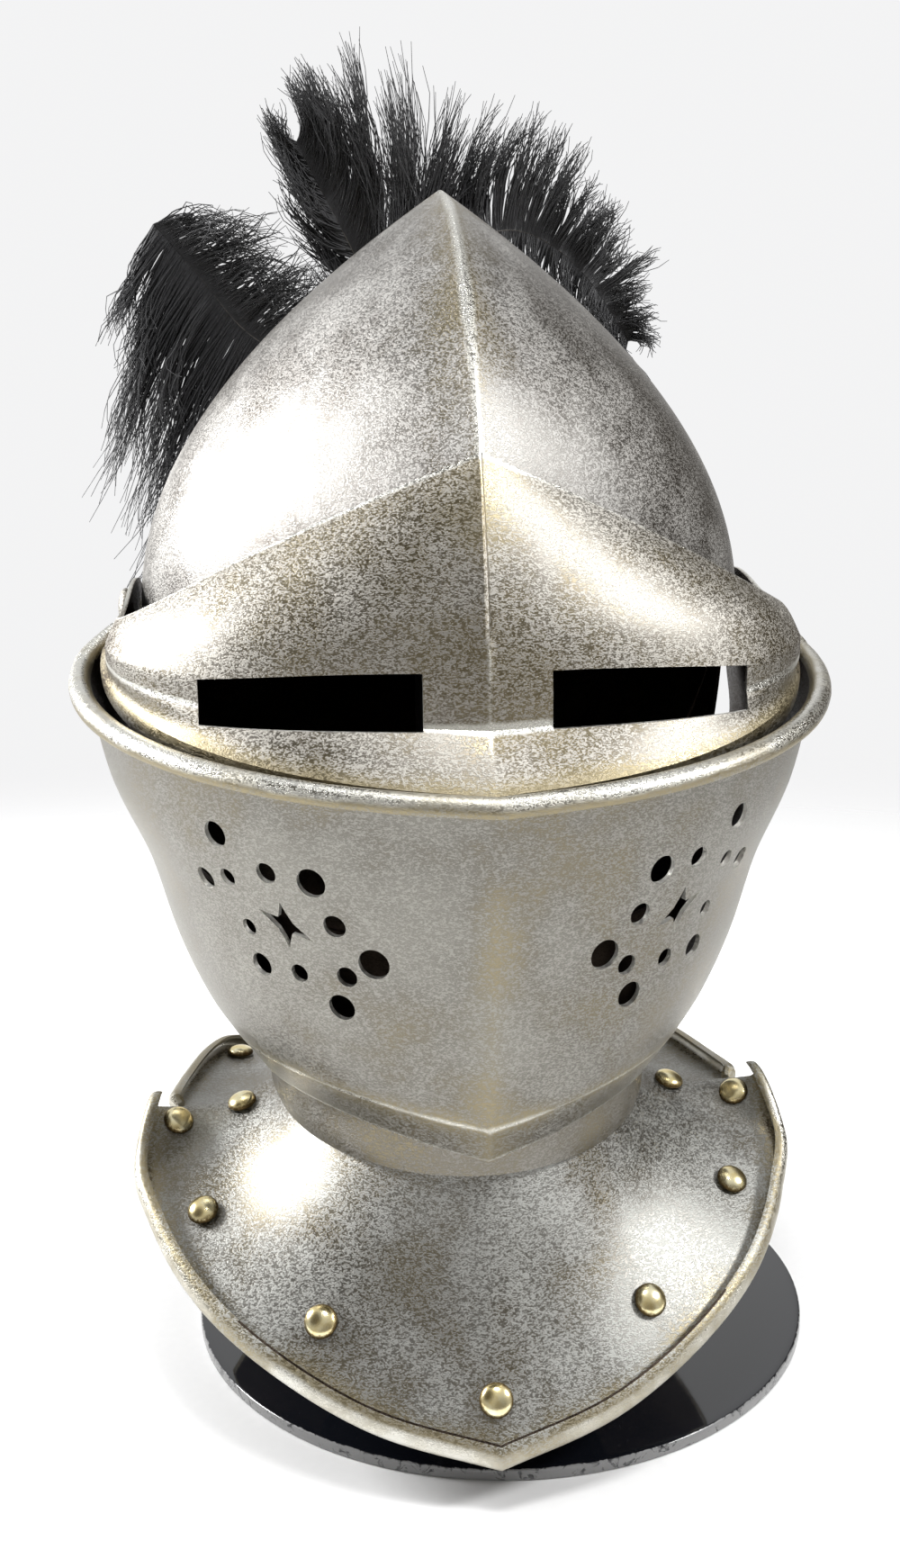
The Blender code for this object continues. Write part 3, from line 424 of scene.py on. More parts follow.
def keel_reach(angle):
    ring = math.hypot(PIVOT_Z - NECK_Z, NECK_BACK - PIVOT_Y) / SKULL_REACH
    if angle <= NAPE:
        return SKULL_REACH * read_table(KEEL + ((NAPE, ring),), angle)
    drop = (PIVOT_Z - NECK_Z) / math.sin(math.radians(angle - 180.0))
    y = PIVOT_Y + drop * math.cos(math.radians(angle - 180.0))
    share = min(abs(y - NECK_MIDDLE) / (NECK_BACK - NECK_MIDDLE), 1.0)
    return drop / math.sqrt(1.0 - NECK_HALF * math.sqrt(1.0 - share * share) / SKULL_HALF)


def neck_share(z):
    t = (z - NECK_Z) / (PINCH_TOP - NECK_Z)
    return 1.0 - NECK_PINCH * math.sin(math.pi * t) ** 2 if 0.0 < t < 1.0 else 1.0


def skull_point(angle, r):
    around = math.radians(angle)
    z = PIVOT_Z + r * math.sin(around)
    x = SKULL_HALF * (1.0 - (r / keel_reach(angle)) ** 2) * neck_share(z)
    return Vector((max(x, 0.0), PIVOT_Y - r * math.cos(around), z))


print("the nape is at", round(NAPE, 1), "degrees round the pivots")

# %% Skull
angles = [lerp(BROW_ANGLE, NAPE, i / 110) for i in range(111)]
last = math.acos((PIVOT_Y - NECK_MIDDLE) / (NECK_BACK - NECK_MIDDLE))
for i in range(1, 29):
    y = NECK_MIDDLE + (NECK_BACK - NECK_MIDDLE) * math.cos(last * i / 28)
    angles.append(180.0 + math.degrees(math.atan2(PIVOT_Z - NECK_Z, y - PIVOT_Y)))
skull_rows = []
for angle in angles:
    far = keel_reach(angle)
    if angle > NAPE:
        far = (PIVOT_Z - NECK_Z) / math.sin(math.radians(angle - 180.0))
    skull_rows.append([skull_point(angle, far * (1.0 - j / 44) ** 0.8) for j in range(44, -1, -1)])
skull = sheet_mesh("skull_plate", skull_rows)
thicken(skull, SHEET, skull_steel, inside_steel, 1)
freeze(skull)
# Rub and painted highlight along the keel; painted shade towards the nape, where the skull meets the neck
# plates.
mark(skull, "rubbed", lambda p: 0.8 * math.exp(-abs(p.x) / 0.0007))
mark(skull, "patina", lambda p: 0.50 * math.exp(-abs(p.x) / 0.012) + 0.20 * ease((p.y - 0.02) / 0.06))
mark(skull, "stain", lambda p: 0.35 * math.exp(-(p.z - NECK_Z) / 0.012))
piece(skull, "helmet", "steel", "skull")

# %% [markdown]
# ## The visor
# The visor is a brow plate that folds sharply under the sights and runs forward as a
# shelf. Rows go down from its peak, columns run back from the ridge, and two arms taper to
# the temple pivots. The sights are cut with straight bars, so their walls come out bright,
# as on the real plate, where the saw left bare metal; the bright walls are also a painted
# highlight on the cut edges. The peak's edge, the fold and the ridge carry a painted
# highlight along with their rub, and painted shade darkens the visor's outer sides.

# %% Visor measures
VISOR_HALF, PEAK_ANGLE, TONGUE_ANGLE = 0.1125, 20.4, -17.5
FOLD_REACH, FOLD_ANGLE, SHELF_REACH, SHELF_ANGLE = 0.1497, -9.6, 0.1652, -14.2
SIGHT_INNER, SIGHT_OUTER, SIGHT_HEIGHT, SIGHT_TAPER, SIGHT_Z = 0.0178, 0.0800, 0.0160, 0.0030, 0.2297
RIDGE, RIDGE_WIDTH = 0.0055, 0.030
VISOR_TOP = ((0.0, 1.0), (0.23, 0.96), (0.45, 0.90), (0.65, 0.775), (0.81, 0.58), (0.90, 0.36), (1.0, 0.06))
VISOR_FULL = ((-6.0, 1.0), (0.0, 0.86), (6.0, 0.62), (14.0, 0.27), (20.4, 0.0))


def visor_reach(angle):
    low = SKULL_REACH + RUN_GAP + SHEET
    if angle < FOLD_ANGLE:
        shelf = ((TONGUE_ANGLE, SHELF_REACH - 0.0005), (SHELF_ANGLE, SHELF_REACH), (FOLD_ANGLE, FOLD_REACH))
        return read_line(shelf, angle)
    brow = ((FOLD_ANGLE, FOLD_REACH), (2.0, lerp(low, FOLD_REACH, 0.70)), (PEAK_ANGLE, low))
    return read_table(brow, angle)


def visor_point(angle, share):
    clear = RUN_GAP + SHEET
    reach = visor_reach(angle)
    near = lerp(0.058, 0.040, ease((FOLD_ANGLE - angle) / 4.0))
    phi = share * math.pi / 2
    wide = lerp(VISOR_HALF, VISOR_HALF + 0.004, ease((FOLD_ANGLE - angle) / 6.0))
    x_full = wide * math.sin(phi)
    ridge = RIDGE * math.exp(-x_full / RIDGE_WIDTH)
    r_full = near + (reach - near - RIDGE) * math.cos(phi) + ridge * max(math.cos(phi), 0.0) ** 0.5
    r_hug = r_full * (SKULL_REACH + clear) / reach
    x_hug = (SKULL_HALF + clear) * (1.0 - (r_hug / (SKULL_REACH + clear)) ** 2)
    full = read_table(VISOR_FULL, angle)
    x = lerp(max(x_hug, 0.0), x_full, full)
    r = lerp(r_hug, r_full, full)
    if share == 0:
        x, r = 0.0, reach
    around = math.radians(angle)
    return Vector((x, PIVOT_Y - r * math.cos(around), PIVOT_Z + r * math.sin(around)))


def arm_points(start, wall_x, radius, steps):
    columns = []
    for k in range(1, steps + 1):
        share = k / steps
        half = radius * (1.0 if share < 0.8 else math.sqrt(1.0 - ((share - 0.8) / 0.2 * 0.83) ** 2))
        column = []
        for p in start:
            down = (start[0].z - p.z) / (start[0].z - start[-1].z)
            y = lerp(p.y, PIVOT_Y + radius, share)
            high = lerp(start[0].z, PIVOT_Z + half, ease(share * 1.3))
            deep = lerp(start[-1].z, PIVOT_Z - half, ease(share * 1.6))
            column.append(Vector((lerp(p.x, wall_x, ease(share * 1.8)), y, lerp(high, deep, down))))
        columns.append(column)
    return columns


print("visor peak and fold, degrees:", PEAK_ANGLE, FOLD_ANGLE)

# %% Visor columns
SIDE_STEPS, BROW_STEPS, SHELF_STEPS, TONGUE_STEPS = 60, 26, 8, 4
visor_columns = []
for j in range(SIDE_STEPS + 1):
    share = (j / SIDE_STEPS) ** 1.25
    peak = PEAK_ANGLE * read_table(VISOR_TOP, math.sin(share * math.pi / 2))
    column = [visor_point(peak, share)]
    for first, final, steps in (
            (peak, FOLD_ANGLE, BROW_STEPS), (FOLD_ANGLE, SHELF_ANGLE, SHELF_STEPS),
            (SHELF_ANGLE, TONGUE_ANGLE, TONGUE_STEPS)):
        column += [visor_point(lerp(first, final, v / steps), share) for v in range(1, steps + 1)]
    visor_columns.append(column)
visor_columns += arm_points(visor_columns[-1], SKULL_HALF + RUN_GAP + SHEET, ARM_RADIUS, 30)
visor_rows = [list(row) for row in zip(*visor_columns)]
print("visor columns:", len(visor_columns), "rows:", len(visor_rows))

# %% Cutters


# A cutter's finish goes onto the walls it cuts: bright steel, partly bare metal and partly a painted
# highlight.
def cutter_object(name, work, look):
    bmesh.ops.recalc_face_normals(work, faces=work.faces)
    mesh = mesh_from(name, work)
    mesh.materials.append(look)
    return in_scene(name, mesh)


def prism(work, outline, low, high):
    """A closed bar between two copies of an outline."""
    ends = [[work.verts.new(place(p)) for p in outline] for place in (low, high)]
    work.faces.new(ends[0])
    work.faces.new(ends[1][::-1])
    for k in range(len(outline)):
        n = (k + 1) % len(outline)
        work.faces.new((ends[0][k], ends[1][k], ends[1][n], ends[0][n]))


def pin_cutter(name, radius):
    work = bmesh.new()
    for side in (-1, 1):
        place = Matrix.Translation((side * (SKULL_HALF + 0.002), PIVOT_Y, PIVOT_Z))
        bmesh.ops.create_cone(work, cap_ends=True, segments=32, radius1=radius, radius2=radius, depth=0.03,
                              matrix=place @ Matrix.Rotation(math.pi / 2, 4, "Y"))
    return cutter_object(name, work, edge_steel)


slots = bmesh.new()
for side in (-1, 1):
    lower = [(SIGHT_INNER, SIGHT_Z), (SIGHT_OUTER, SIGHT_Z)]
    upper = [(lerp(SIGHT_OUTER, SIGHT_INNER, k / 16),
              SIGHT_Z + lerp(SIGHT_HEIGHT - SIGHT_TAPER, SIGHT_HEIGHT, math.sin(k / 16 * math.pi / 2)))
             for k in range(17)]
    prism(slots, [(side * x, z) for x, z in lower + upper],
          lambda p: (p[0], -0.16, p[1]), lambda p: (p[0], -0.05, p[1]))
sight_bars = cutter_object("sight_bars", slots, edge_steel)
print("sight slots, mm:", round(1000 * (SIGHT_OUTER - SIGHT_INNER), 1), "wide")

# %% Visor
visor = sheet_mesh("visor_plate", visor_rows)
thicken(visor, SHEET, visor_steel, inside_steel)
visor_pins = pin_cutter("visor_pins", PIVOT_PIN + RUN_GAP)
cut(visor, sight_bars)
cut(visor, visor_pins)
freeze(visor, sight_bars, visor_pins)
visor_edge = near_lines(both_sides(visor_rows[0]))
visor_fold = near_lines(both_sides(visor_rows[BROW_STEPS]))
visor_shelf = near_lines(both_sides(visor_rows[BROW_STEPS + SHELF_STEPS]))


# Rub and painted highlight on the peak's edge, the fold under the sights and the ridge.
def visor_rub_and_highlight(p):
    edge = math.exp(-visor_edge.find(p)[2] / 0.0010)
    fold = math.exp(-visor_fold.find(p)[2] / 0.0009)
    return max(0.9 * edge, fold, 0.38 * math.exp(-abs(p.x) / 0.0010))


def visor_patina(p):
    ridge = math.exp(-abs(p.x) / 0.020) * ease((p.z - 0.245) / 0.05)
    return max(0.62 * ridge, 0.85 * math.exp(-visor_shelf.find(p)[2] / 0.006), 0.26)


mark(visor, "rubbed", visor_rub_and_highlight)
mark(visor, "patina", visor_patina)
# Painted shade on the visor's outer sides.
mark(visor, "stain", lambda p: 0.40 * ease((abs(p.x) - 0.085) / 0.03))
piece(visor, "visor", "steel", "visor")

# %% [markdown]
# ## The ventail
# The ventail is a prow with a rolled rim, twelve round breath holes and a four-pointed
# star on each side, and a chin band that turns in below a crease. The roll is an arc added
# above the rim. Round cutters with many sides keep the holes round.

# %% Ventail measures
RIM_REACH, RIM_Z, RIM_SLOPE, RIM_HALF, ARM_RIM = 0.129, 0.2120, 0.20, 0.1215, 0.0010
CHIN_REACH, CHIN_Z = 0.105, 0.1105
BAND_REACH, BAND_Z, BAND_HALF, BAND_LIFT = 0.0995, 0.0992, 0.0690, 0.0080
CREASE_LEVEL = (CHIN_Z - BAND_Z) / (RIM_Z - BAND_Z)
# height as a share from the band (0) to the rim (1), half width as a share of RIM_HALF
VENTAIL_SIDES = (
    (CREASE_LEVEL, 0.648), (0.20, 0.715), (0.37, 0.792), (0.58, 0.857), (0.80, 0.955), (1.0, 1.0))
VENTAIL_FRONT = ((CREASE_LEVEL, 0.0), (0.30, 0.26), (1.0, 1.0))
# breath holes: share round the side, level, radius
BREATH_HOLES = (
    (0.455, 0.818, 0.0041), (0.530, 0.663, 0.0037), (0.464, 0.693, 0.0029), (0.370, 0.742, 0.0033),
    (0.289, 0.742, 0.0045), (0.459, 0.553, 0.0027), (0.268, 0.626, 0.0035), (0.453, 0.447, 0.0038),
    (0.363, 0.457, 0.0029), (0.263, 0.482, 0.0032), (0.208, 0.536, 0.0047), (0.285, 0.385, 0.0042),
)
STAR_TIPS, STAR_WAIST = ((0.364, 0.661), (0.418, 0.622), (0.372, 0.526), (0.318, 0.566)), 0.0032


def ventail_point(level, share):
    """level 1 is the rim, 0 the band's edge; share 0 is the ridge, 1 the side."""
    phi = share * math.pi / 2
    half = RIM_HALF * read_table(VENTAIL_SIDES, level)
    reach = lerp(CHIN_REACH, RIM_REACH, read_table(VENTAIL_FRONT, level))
    if level < CREASE_LEVEL:
        half = lerp(BAND_HALF, half, level / CREASE_LEVEL)
        reach = lerp(BAND_REACH, reach, level / CREASE_LEVEL)
    x = half * math.sin(phi)
    ridge = RIDGE * math.exp(-x / RIDGE_WIDTH)
    y = -(reach - RIDGE) * math.cos(phi) - ridge * max(math.cos(phi), 0.0) ** 0.5
    rim_z = RIM_Z + RIM_SLOPE * (y + RIM_REACH)
    low_z = BAND_Z + BAND_LIFT * math.sin(math.pi * share)
    return Vector((x, y, lerp(low_z, rim_z, level)))


print("round breath holes on each side:", len(BREATH_HOLES))

# %% Ventail columns
TURNS, ARM_STEPS, FACE_STEPS, BAND_STEPS, ROLL_STEPS, ROLL_DEGREES = 72, 24, 44, 6, 14, 215.0
levels = [lerp(1.0, CREASE_LEVEL, v / FACE_STEPS) for v in range(FACE_STEPS + 1)]
levels += [CREASE_LEVEL * (1 - v / BAND_STEPS) for v in range(1, BAND_STEPS + 1)]
ventail_columns = [[ventail_point(v, j / TURNS) for v in levels] for j in range(TURNS + 1)]
side_column = ventail_columns[-1]
wall_x = SKULL_HALF + 2 * (RUN_GAP + SHEET)
for k in range(1, ARM_STEPS + 1):
    share = k / ARM_STEPS
    around = 1.0 if share < 0.8 else math.sqrt(1.0 - ((share - 0.8) / 0.2 * 0.83) ** 2)
    end = PIVOT_Z + ARM_RADIUS * around - 3 * ARM_RIM
    column = []
    for v, start in zip(levels, side_column):
        y = lerp(start.y, lerp(0.012, PIVOT_Y + ARM_RADIUS, ease(v)), share)
        z = start.z + (end - side_column[0].z) * share * v ** 2
        near = ease((z - 0.19) / (PIVOT_Z - 0.19) * 1.6) * ease(share * 1.5)
        column.append(Vector((lerp(start.x, wall_x, near), y, z)))
    ventail_columns.append(column)
rolled = []
for k, column in enumerate(ventail_columns):
    out = Vector((column[0].x, min(column[0].y, 0.0), 0.0)).normalized()
    centre = column[0] + out * CURL
    flat = ease((k - TURNS) / ARM_STEPS * 1.6)
    curl = []
    for step in range(ROLL_STEPS, 0, -1):
        a = math.radians(ROLL_DEGREES * step / ROLL_STEPS)
        spot = centre - out * CURL * math.cos(a) + Vector((0, 0, CURL * math.sin(a)))
        curl.append(spot.lerp(column[0] + Vector((0, 0, 3 * ARM_RIM * step / ROLL_STEPS)), flat))
    rolled.append(curl + column)
ventail_rows = [list(row) for row in zip(*rolled)]
print("ventail columns:", len(rolled), "rows:", len(ventail_rows))


# %% Breath hole cutters


def surface_frame(share, level):
    here = ventail_point(level, share)
    round_it = ventail_point(level, share + 0.02) - ventail_point(level, share - 0.02)
    up = ventail_point(min(level + 0.02, 1.0), share) - ventail_point(level - 0.02, share)
    return here, round_it.cross(up).normalized() * -1.0


breath = bmesh.new()
for share, level_here, radius in BREATH_HOLES:
    for side in (-1, 1):
        here, out = surface_frame(share, level_here)
        aim = Vector((side * out.x, out.y, out.z)).to_track_quat("Z", "Y").to_matrix().to_4x4()
        bmesh.ops.create_cone(
            breath, cap_ends=True, segments=40, radius1=radius, radius2=radius, depth=0.02,
            matrix=Matrix.Translation((side * here.x, here.y, here.z)) @ aim)
tips = [ventail_point(level_here, share) for share, level_here in STAR_TIPS]
middle = sum(tips, Vector((0.0, 0.0, 0.0))) / 4
star = []
for tip, following in zip(tips, tips[1:] + tips[:1]):
    notch = middle + ((tip + following) / 2 - middle).normalized() * STAR_WAIST
    sides = [a.lerp(b, 0.5).lerp(middle, 0.04) for a, b in ((tip, notch), (notch, following))]
    star += [tip, sides[0], notch, sides[1]]
along = (star[4] - star[0]).cross(star[8] - star[0]).normalized() * 0.01
for side in (-1, 1):
    prism(breath, star, lambda p: (side * (p - along).x, (p - along).y, (p - along).z),
          lambda p: (side * (p + along).x, (p + along).y, (p + along).z))
# The hole walls take the cutter's bright steel: partly bare metal, partly a painted highlight.
breath_cutter = cutter_object("breath_cutter", breath, edge_steel)
print("breath holes and stars:", 2 * (len(BREATH_HOLES) + 1))

# %% Ventail
ventail = sheet_mesh("ventail_plate", ventail_rows)
thicken(ventail, SHEET, ventail_steel, inside_steel)
ventail_pins = pin_cutter("ventail_pins", PIVOT_PIN + RUN_GAP)
cut(ventail, breath_cutter)
cut(ventail, ventail_pins)
freeze(ventail, breath_cutter, ventail_pins)
rim_line = near_lines(both_sides(ventail_rows[6]))
crease_line = near_lines(both_sides(ventail_rows[ROLL_STEPS + FACE_STEPS]))
band_line = near_lines(both_sides(ventail_rows[-1]))
bright_inside(ventail, rim_line, 0.0046)


def ventail_patina(p):
    ridge = 0.46 * math.exp(-abs(p.x) / 0.012) * ease((0.205 - p.z) / 0.03)
    rim = 0.75 * math.exp(-max(rim_line.find(p)[2] - 0.003, 0.0) / 0.004)
    return max(ridge, rim, 0.55 * math.exp(-crease_line.find(p)[2] / 0.006), 0.18)


# Rub and painted highlight on the roll, the crease, the band's edge and the ridge.
def ventail_rub_and_highlight(p):
    rim = 0.62 * math.exp(-(max(rim_line.find(p)[2] - 0.0022, 0.0) / 0.0014) ** 2)
    crease = 0.55 * math.exp(-crease_line.find(p)[2] / 0.0006)
    band = 0.5 * math.exp(-band_line.find(p)[2] / 0.0008)
    return max(rim, crease, band, 0.18 * math.exp(-abs(p.x) / 0.0015))


# Painted shade: a dark line just under the rolled rim, towards the front.
def ventail_painted_shade(p):
    return 0.34 * math.exp(-abs(rim_line.find(p)[2] - 0.0062) / 0.0012) * ease((-p.y) / 0.06)


mark(ventail, "patina", ventail_patina)
mark(ventail, "rubbed", ventail_rub_and_highlight)
mark(ventail, "stain", ventail_painted_shade)
piece(ventail, "ventail", "steel", "ventail")

# %% [markdown]
# ## The bevor
# Behind the breath holes sits the fixed bevor, which closes the chin. It is hardly seen,
# and rougher and browner than the polished plates in front of it; its upper part, behind
# the ventail's band, is darkened with painted shade.

# %% Bevor
BEVOR_TOP_Z, BEVOR_SIDE_Z, BEVOR_REACH = 0.166, 0.172, 0.098


def bevor_point(z, share):
    rise = (z - NECK_Z) / (BEVOR_TOP_Z - NECK_Z)
    back = PIVOT_Y - SEAT_GAP * 2
    centre = lerp(NECK_MIDDLE, back, ease(rise))
    half_long = centre + lerp(-NECK_FRONT, BEVOR_REACH, rise)
    end = math.acos((centre - back) / half_long)
    beside = SKULL_HALF * (1.0 - ((PIVOT_Z - z) / keel_reach(270.0)) ** 2) * neck_share(z)
    half = beside / math.sin(end)
    phi = end * share
    proud = RIDGE * 0.5 * ease(rise * 2.0) * math.exp(-half * math.sin(phi) / RIDGE_WIDTH) * math.cos(phi)
    return Vector((half * math.sin(phi), centre - half_long * math.cos(phi) - proud, z))


bevor_rows = []
for i in range(31):
    row = []
    for j in range(49):
        high = lerp(BEVOR_TOP_Z, BEVOR_SIDE_Z, ease(j / 48))
        row.append(bevor_point(lerp(high, NECK_Z, i / 30), j / 48))
    row[-1].y = PIVOT_Y - SEAT_GAP * 2
    bevor_rows.append(row)
bevor = sheet_mesh("bevor_plate", bevor_rows)
thicken(bevor, SHEET, bevor_steel, inside_steel, 1)
freeze(bevor)
# Painted shade on the upper part, behind the ventail's band.
mark(bevor, "stain", lambda p: 0.9 * ease((p.z - 0.112) / 0.012))
mark(bevor, "patina", lambda p: 0.25)
mark(bevor, "rubbed", lambda p: 0.0)
piece(bevor, "helmet", "steel", "bevor")

# %% [markdown]
# ## The neck plates
# Two pointed plates rest on the shoulders, the front one lapping over the rear one. Each
# hollows a little between the neck and its rolled edge, and the roll's throat holds a
# yellowish patina. Broad unevenness in the steel breaks the light into soft dark bands.
# The roll carries a painted highlight along with its rub, and painted shade darkens the
# collar under the helmet and a thin line where the plate turns into its roll.

# %% Neck plate measures
GORGET_HALF, TIP_REACH, TIP_Z, TAIL_REACH, TAIL_Z = 0.1085, 0.122, 0.0159, 0.128, 0.034
SHOULDER_Z, REAR_DROP, FLARE, COLLAR_GAP, COLLAR_RISE = 0.0865, 0.0042, 0.005, 0.0014, 0.009
# share of half a turn from the front, half width share, reach share, height share
GORGET_EDGE = (
    (0.00, 0.00, -1.00, 0.00), (0.10, 0.30, -0.93, 0.10), (0.20, 0.58, -0.80, 0.26),
    (0.30, 0.81, -0.62, 0.45), (0.38, 0.94, -0.43, 0.63), (0.44, 1.00, -0.28, 0.79),
    (0.50, 0.965, -0.12, 1.00), (0.60, 0.93, 0.18, 0.93), (0.72, 0.83, 0.54, 0.86),
    (0.86, 0.46, 0.88, 0.36), (1.00, 0.00, 1.00, 0.00),
)


def neck_point(phi, inset):
    half_long = (NECK_BACK - NECK_FRONT) / 2
    y = NECK_MIDDLE - (half_long - inset) * math.cos(phi)
    return Vector(((NECK_HALF - inset) * math.sin(phi), y, NECK_Z))


def edge_point(share):
    half, reach, high = (read_table([(row[0], row[i]) for row in GORGET_EDGE], share) for i in (1, 2, 3))
    y = reach * (TIP_REACH if reach < 0 else TAIL_REACH)
    low = TIP_Z if share < 0.5 else TAIL_Z
    return Vector((half * GORGET_HALF, y, lerp(low, SHOULDER_Z, high)))


def gorget_point(share, down):
    upper = neck_point(share * math.pi, SHEET + COLLAR_GAP)
    lower = edge_point(share)
    away = Vector((lower.x - upper.x, lower.y - upper.y, 0.0)).normalized()
    slope = (upper.z - lower.z) / max((upper - lower).length, 1e-6)
    hollow = FLARE * math.sin(math.pi * down)
    return upper.lerp(lower, down) - away * hollow * slope - Vector((0, 0, hollow * (1.0 - slope)))


print("neck plates, tip to tail, mm:", round(1000 * (TIP_REACH + TAIL_REACH), 1))

# %% Neck plate rows
COLLAR_STEPS, PLATE_STEPS, HEM_STEPS, HEM_DEGREES = 4, 30, 12, 200.0


def gorget_rows(first, final_share, turns, sink, tuck):
    columns = []
    for j in range(turns + 1):
        share = lerp(first, final_share, j / turns)
        under = ease((tuck - share) / 0.02)
        collar = neck_point(share * math.pi, SHEET + COLLAR_GAP)
        column = [collar + Vector((0, 0, COLLAR_RISE * (1 - v / COLLAR_STEPS))) for v in range(COLLAR_STEPS)]
        column += [gorget_point(share, lerp(0.0, lerp(1.0, 0.86, under), v / PLATE_STEPS))
                   for v in range(PLATE_STEPS + 1)]
        end = column[-1]
        out = (end - column[-3]).normalized()
        for k in range(1, HEM_STEPS + 1):
            a = math.radians(HEM_DEGREES * k / HEM_STEPS)
            roll_spot = end + out * CURL * math.sin(a) + Vector((0, 0, CURL * (1.0 - math.cos(a))))
            column.append(roll_spot.lerp(end + out * 0.0003 * k, under))
        away = Vector((math.sin(share * math.pi), -math.cos(share * math.pi), 0.0))
        columns.append([p - Vector((0, 0, sink)) - away * sink for p in column])
    return [list(row) for row in zip(*columns)]


# %% Neck plates
for name, rows in (
        ("gorget_front", gorget_rows(0.0, 0.5, 84, 0.0, 0.0)),
        ("gorget_rear", gorget_rows(5 / 12, 1.0, 90, REAR_DROP, 0.53))):
    made = sheet_mesh(name + "_plate", rows)
    thicken(made, SHEET, neck_steel, inside_steel)
    freeze(made)
    roll_line = near_lines(both_sides(rows[-1 - HEM_STEPS // 2]))
    inner_line = near_lines(both_sides(rows[COLLAR_STEPS + PLATE_STEPS]))
    bright_inside(made, roll_line, 0.0046)
    # Rub and painted highlight on the roll.
    mark(made, "rubbed", lambda p: 0.50 * math.exp(
        -(max(roll_line.find(p)[2] - 0.0022, 0.0) / 0.0010) ** 2))
    mark(made, "patina", lambda p: max(
        0.72 * math.exp(-max(roll_line.find(p)[2] - 0.002, 0.0) / 0.006), 0.16))
    # Painted shade at the crease into the roll and on the collar under the helmet.
    mark(made, "stain", lambda p: max(
        0.42 * math.exp(-abs(inner_line.find(p)[2] - 0.001) / 0.0015), 0.30 * ease((p.z - 0.086) / 0.006)))
    piece(made, "helmet", "steel", name)

# %% [markdown]
# ## Brass rivets
# Every rivet is the same domed head, so Geometry Nodes puts one on each seat. A seat is a
# point with the direction the head faces, measured from the solid heads, and the rings of
# tarnish at the foot of a head come from a mark on the head's own mesh.

# %% Brass
brass, t, shader = shader_material("tarnished_brass")
where = object_place(t)
grain = noise(t, where, 900.0, 3.0, 0.6)
cloudy = noise(t, where, 160.0, 3.0, 0.55)
foot = attribute(t, "foot")
clean = blend_colour(t, ramp(t, cloudy, 0.35, 0.7), (0.80, 0.66, 0.33, 1), (0.90, 0.84, 0.58, 1))
dull = ramp(t, calc(t, "ADD", foot, calc(t, "MULTIPLY", calc(t, "SUBTRACT", grain, 0.5), 0.35)), 0.78, 0.98)
bump = node(t, "ShaderNodeBump", {}, {"Strength": 0.3, "Distance": 0.0001, "Height": grain})
wire(t, shader, {
    "Base Color": blend_colour(t, dull, clean, (0.16, 0.11, 0.045, 1)),
    "Roughness": calc(t, "ADD", calc(t, "MULTIPLY", dull, 0.35), 0.20), "Metallic": 1.0,
    "Normal": bump.outputs["Normal"]})
print("brass nodes:", len(t.nodes))


# %% Rivet head


def turned(name, profile, steps, looks):
    """Turns (radius, height) points about Z; the first and last lie on the axis."""
    work = bmesh.new()
    rings = []
    for r, z in profile:
        if r < 1e-6:
            rings.append([work.verts.new((0.0, 0.0, z))])
        else:
            turns = [math.tau * k / steps for k in range(steps)]
            rings.append([work.verts.new((r * math.cos(a), r * math.sin(a), z)) for a in turns])
    for a, b in zip(rings, rings[1:]):
        for k in range(steps):
            n = (k + 1) % steps
            corners = [a[k % len(a)], a[n % len(a)], b[n % len(b)], b[k % len(b)]]
            work.faces.new(list(dict.fromkeys(corners)))
    bmesh.ops.recalc_face_normals(work, faces=work.faces)
    mesh = mesh_from(name, work)
    mesh.shade_smooth()
    mesh.set_sharp_from_angle(angle=math.radians(40.0))
    for look in looks:
        mesh.materials.append(look)
    return in_scene(name, mesh)


HEAD_SIDES, DOME_STEPS, FOOT_SHARE = 24, 8, 0.12


def rivet_head(name, radius, rise):
    turns = [math.pi / 2 * i / DOME_STEPS for i in range(DOME_STEPS + 1)]
    arc = [(radius * math.sin(a), rise * lerp(FOOT_SHARE, 1.0, math.cos(a))) for a in turns]
    made = turned(name, arc + [(radius * 0.97, 0.0), (0.0, 0.0)], HEAD_SIDES, [brass])
    mark(made, "foot", lambda p: math.hypot(p.x, p.y) / radius)
    return made


print("a head has", HEAD_SIDES * (DOME_STEPS + 2), "faces")

# %% Seats


def flat_seat(name):
    """Middle of a solid head's flat side, and the way the head faces."""
    spots = [v.co.copy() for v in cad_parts[name].data.vertices]
    low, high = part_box(name)
    centre = (low + high) / 2
    best = None
    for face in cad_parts[name].data.polygons:
        across = [(spot - centre).dot(face.normal) for spot in spots]
        thick = max(across) - min(across)
        if best is None or thick < best[0] - 1e-6:
            best = (thick, face.normal.copy())
    way = best[1]
    across = [s.dot(way) for s in spots]
    on_top = [s for s, d in zip(spots, across) if d > max(across) - 2e-5]
    below = [s for s, d in zip(spots, across) if d < min(across) + 2e-5]
    spread = {True: on_top, False: below}
    wide = max(spread, key=lambda key: max((a - spread[key][0]).length for a in spread[key]))
    foot_spots = spread[wide]
    out = -way if wide else way
    unique = {tuple(round(c, 6) for c in s) for s in foot_spots}
    middle_spot = sum((Vector(s) for s in unique), Vector((0.0, 0.0, 0.0))) / len(unique)
    return middle_spot, out


rivet_names = sorted(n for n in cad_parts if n.startswith("rivet_"))
rivet_seats = [flat_seat(name) for name in rivet_names]
pivot_seats = [flat_seat(name) for name in ("pivot_left", "pivot_right")]
print("rivet seats:", len(rivet_seats), "pivots:", len(pivot_seats))

# %% Geometry Nodes for heads on seats


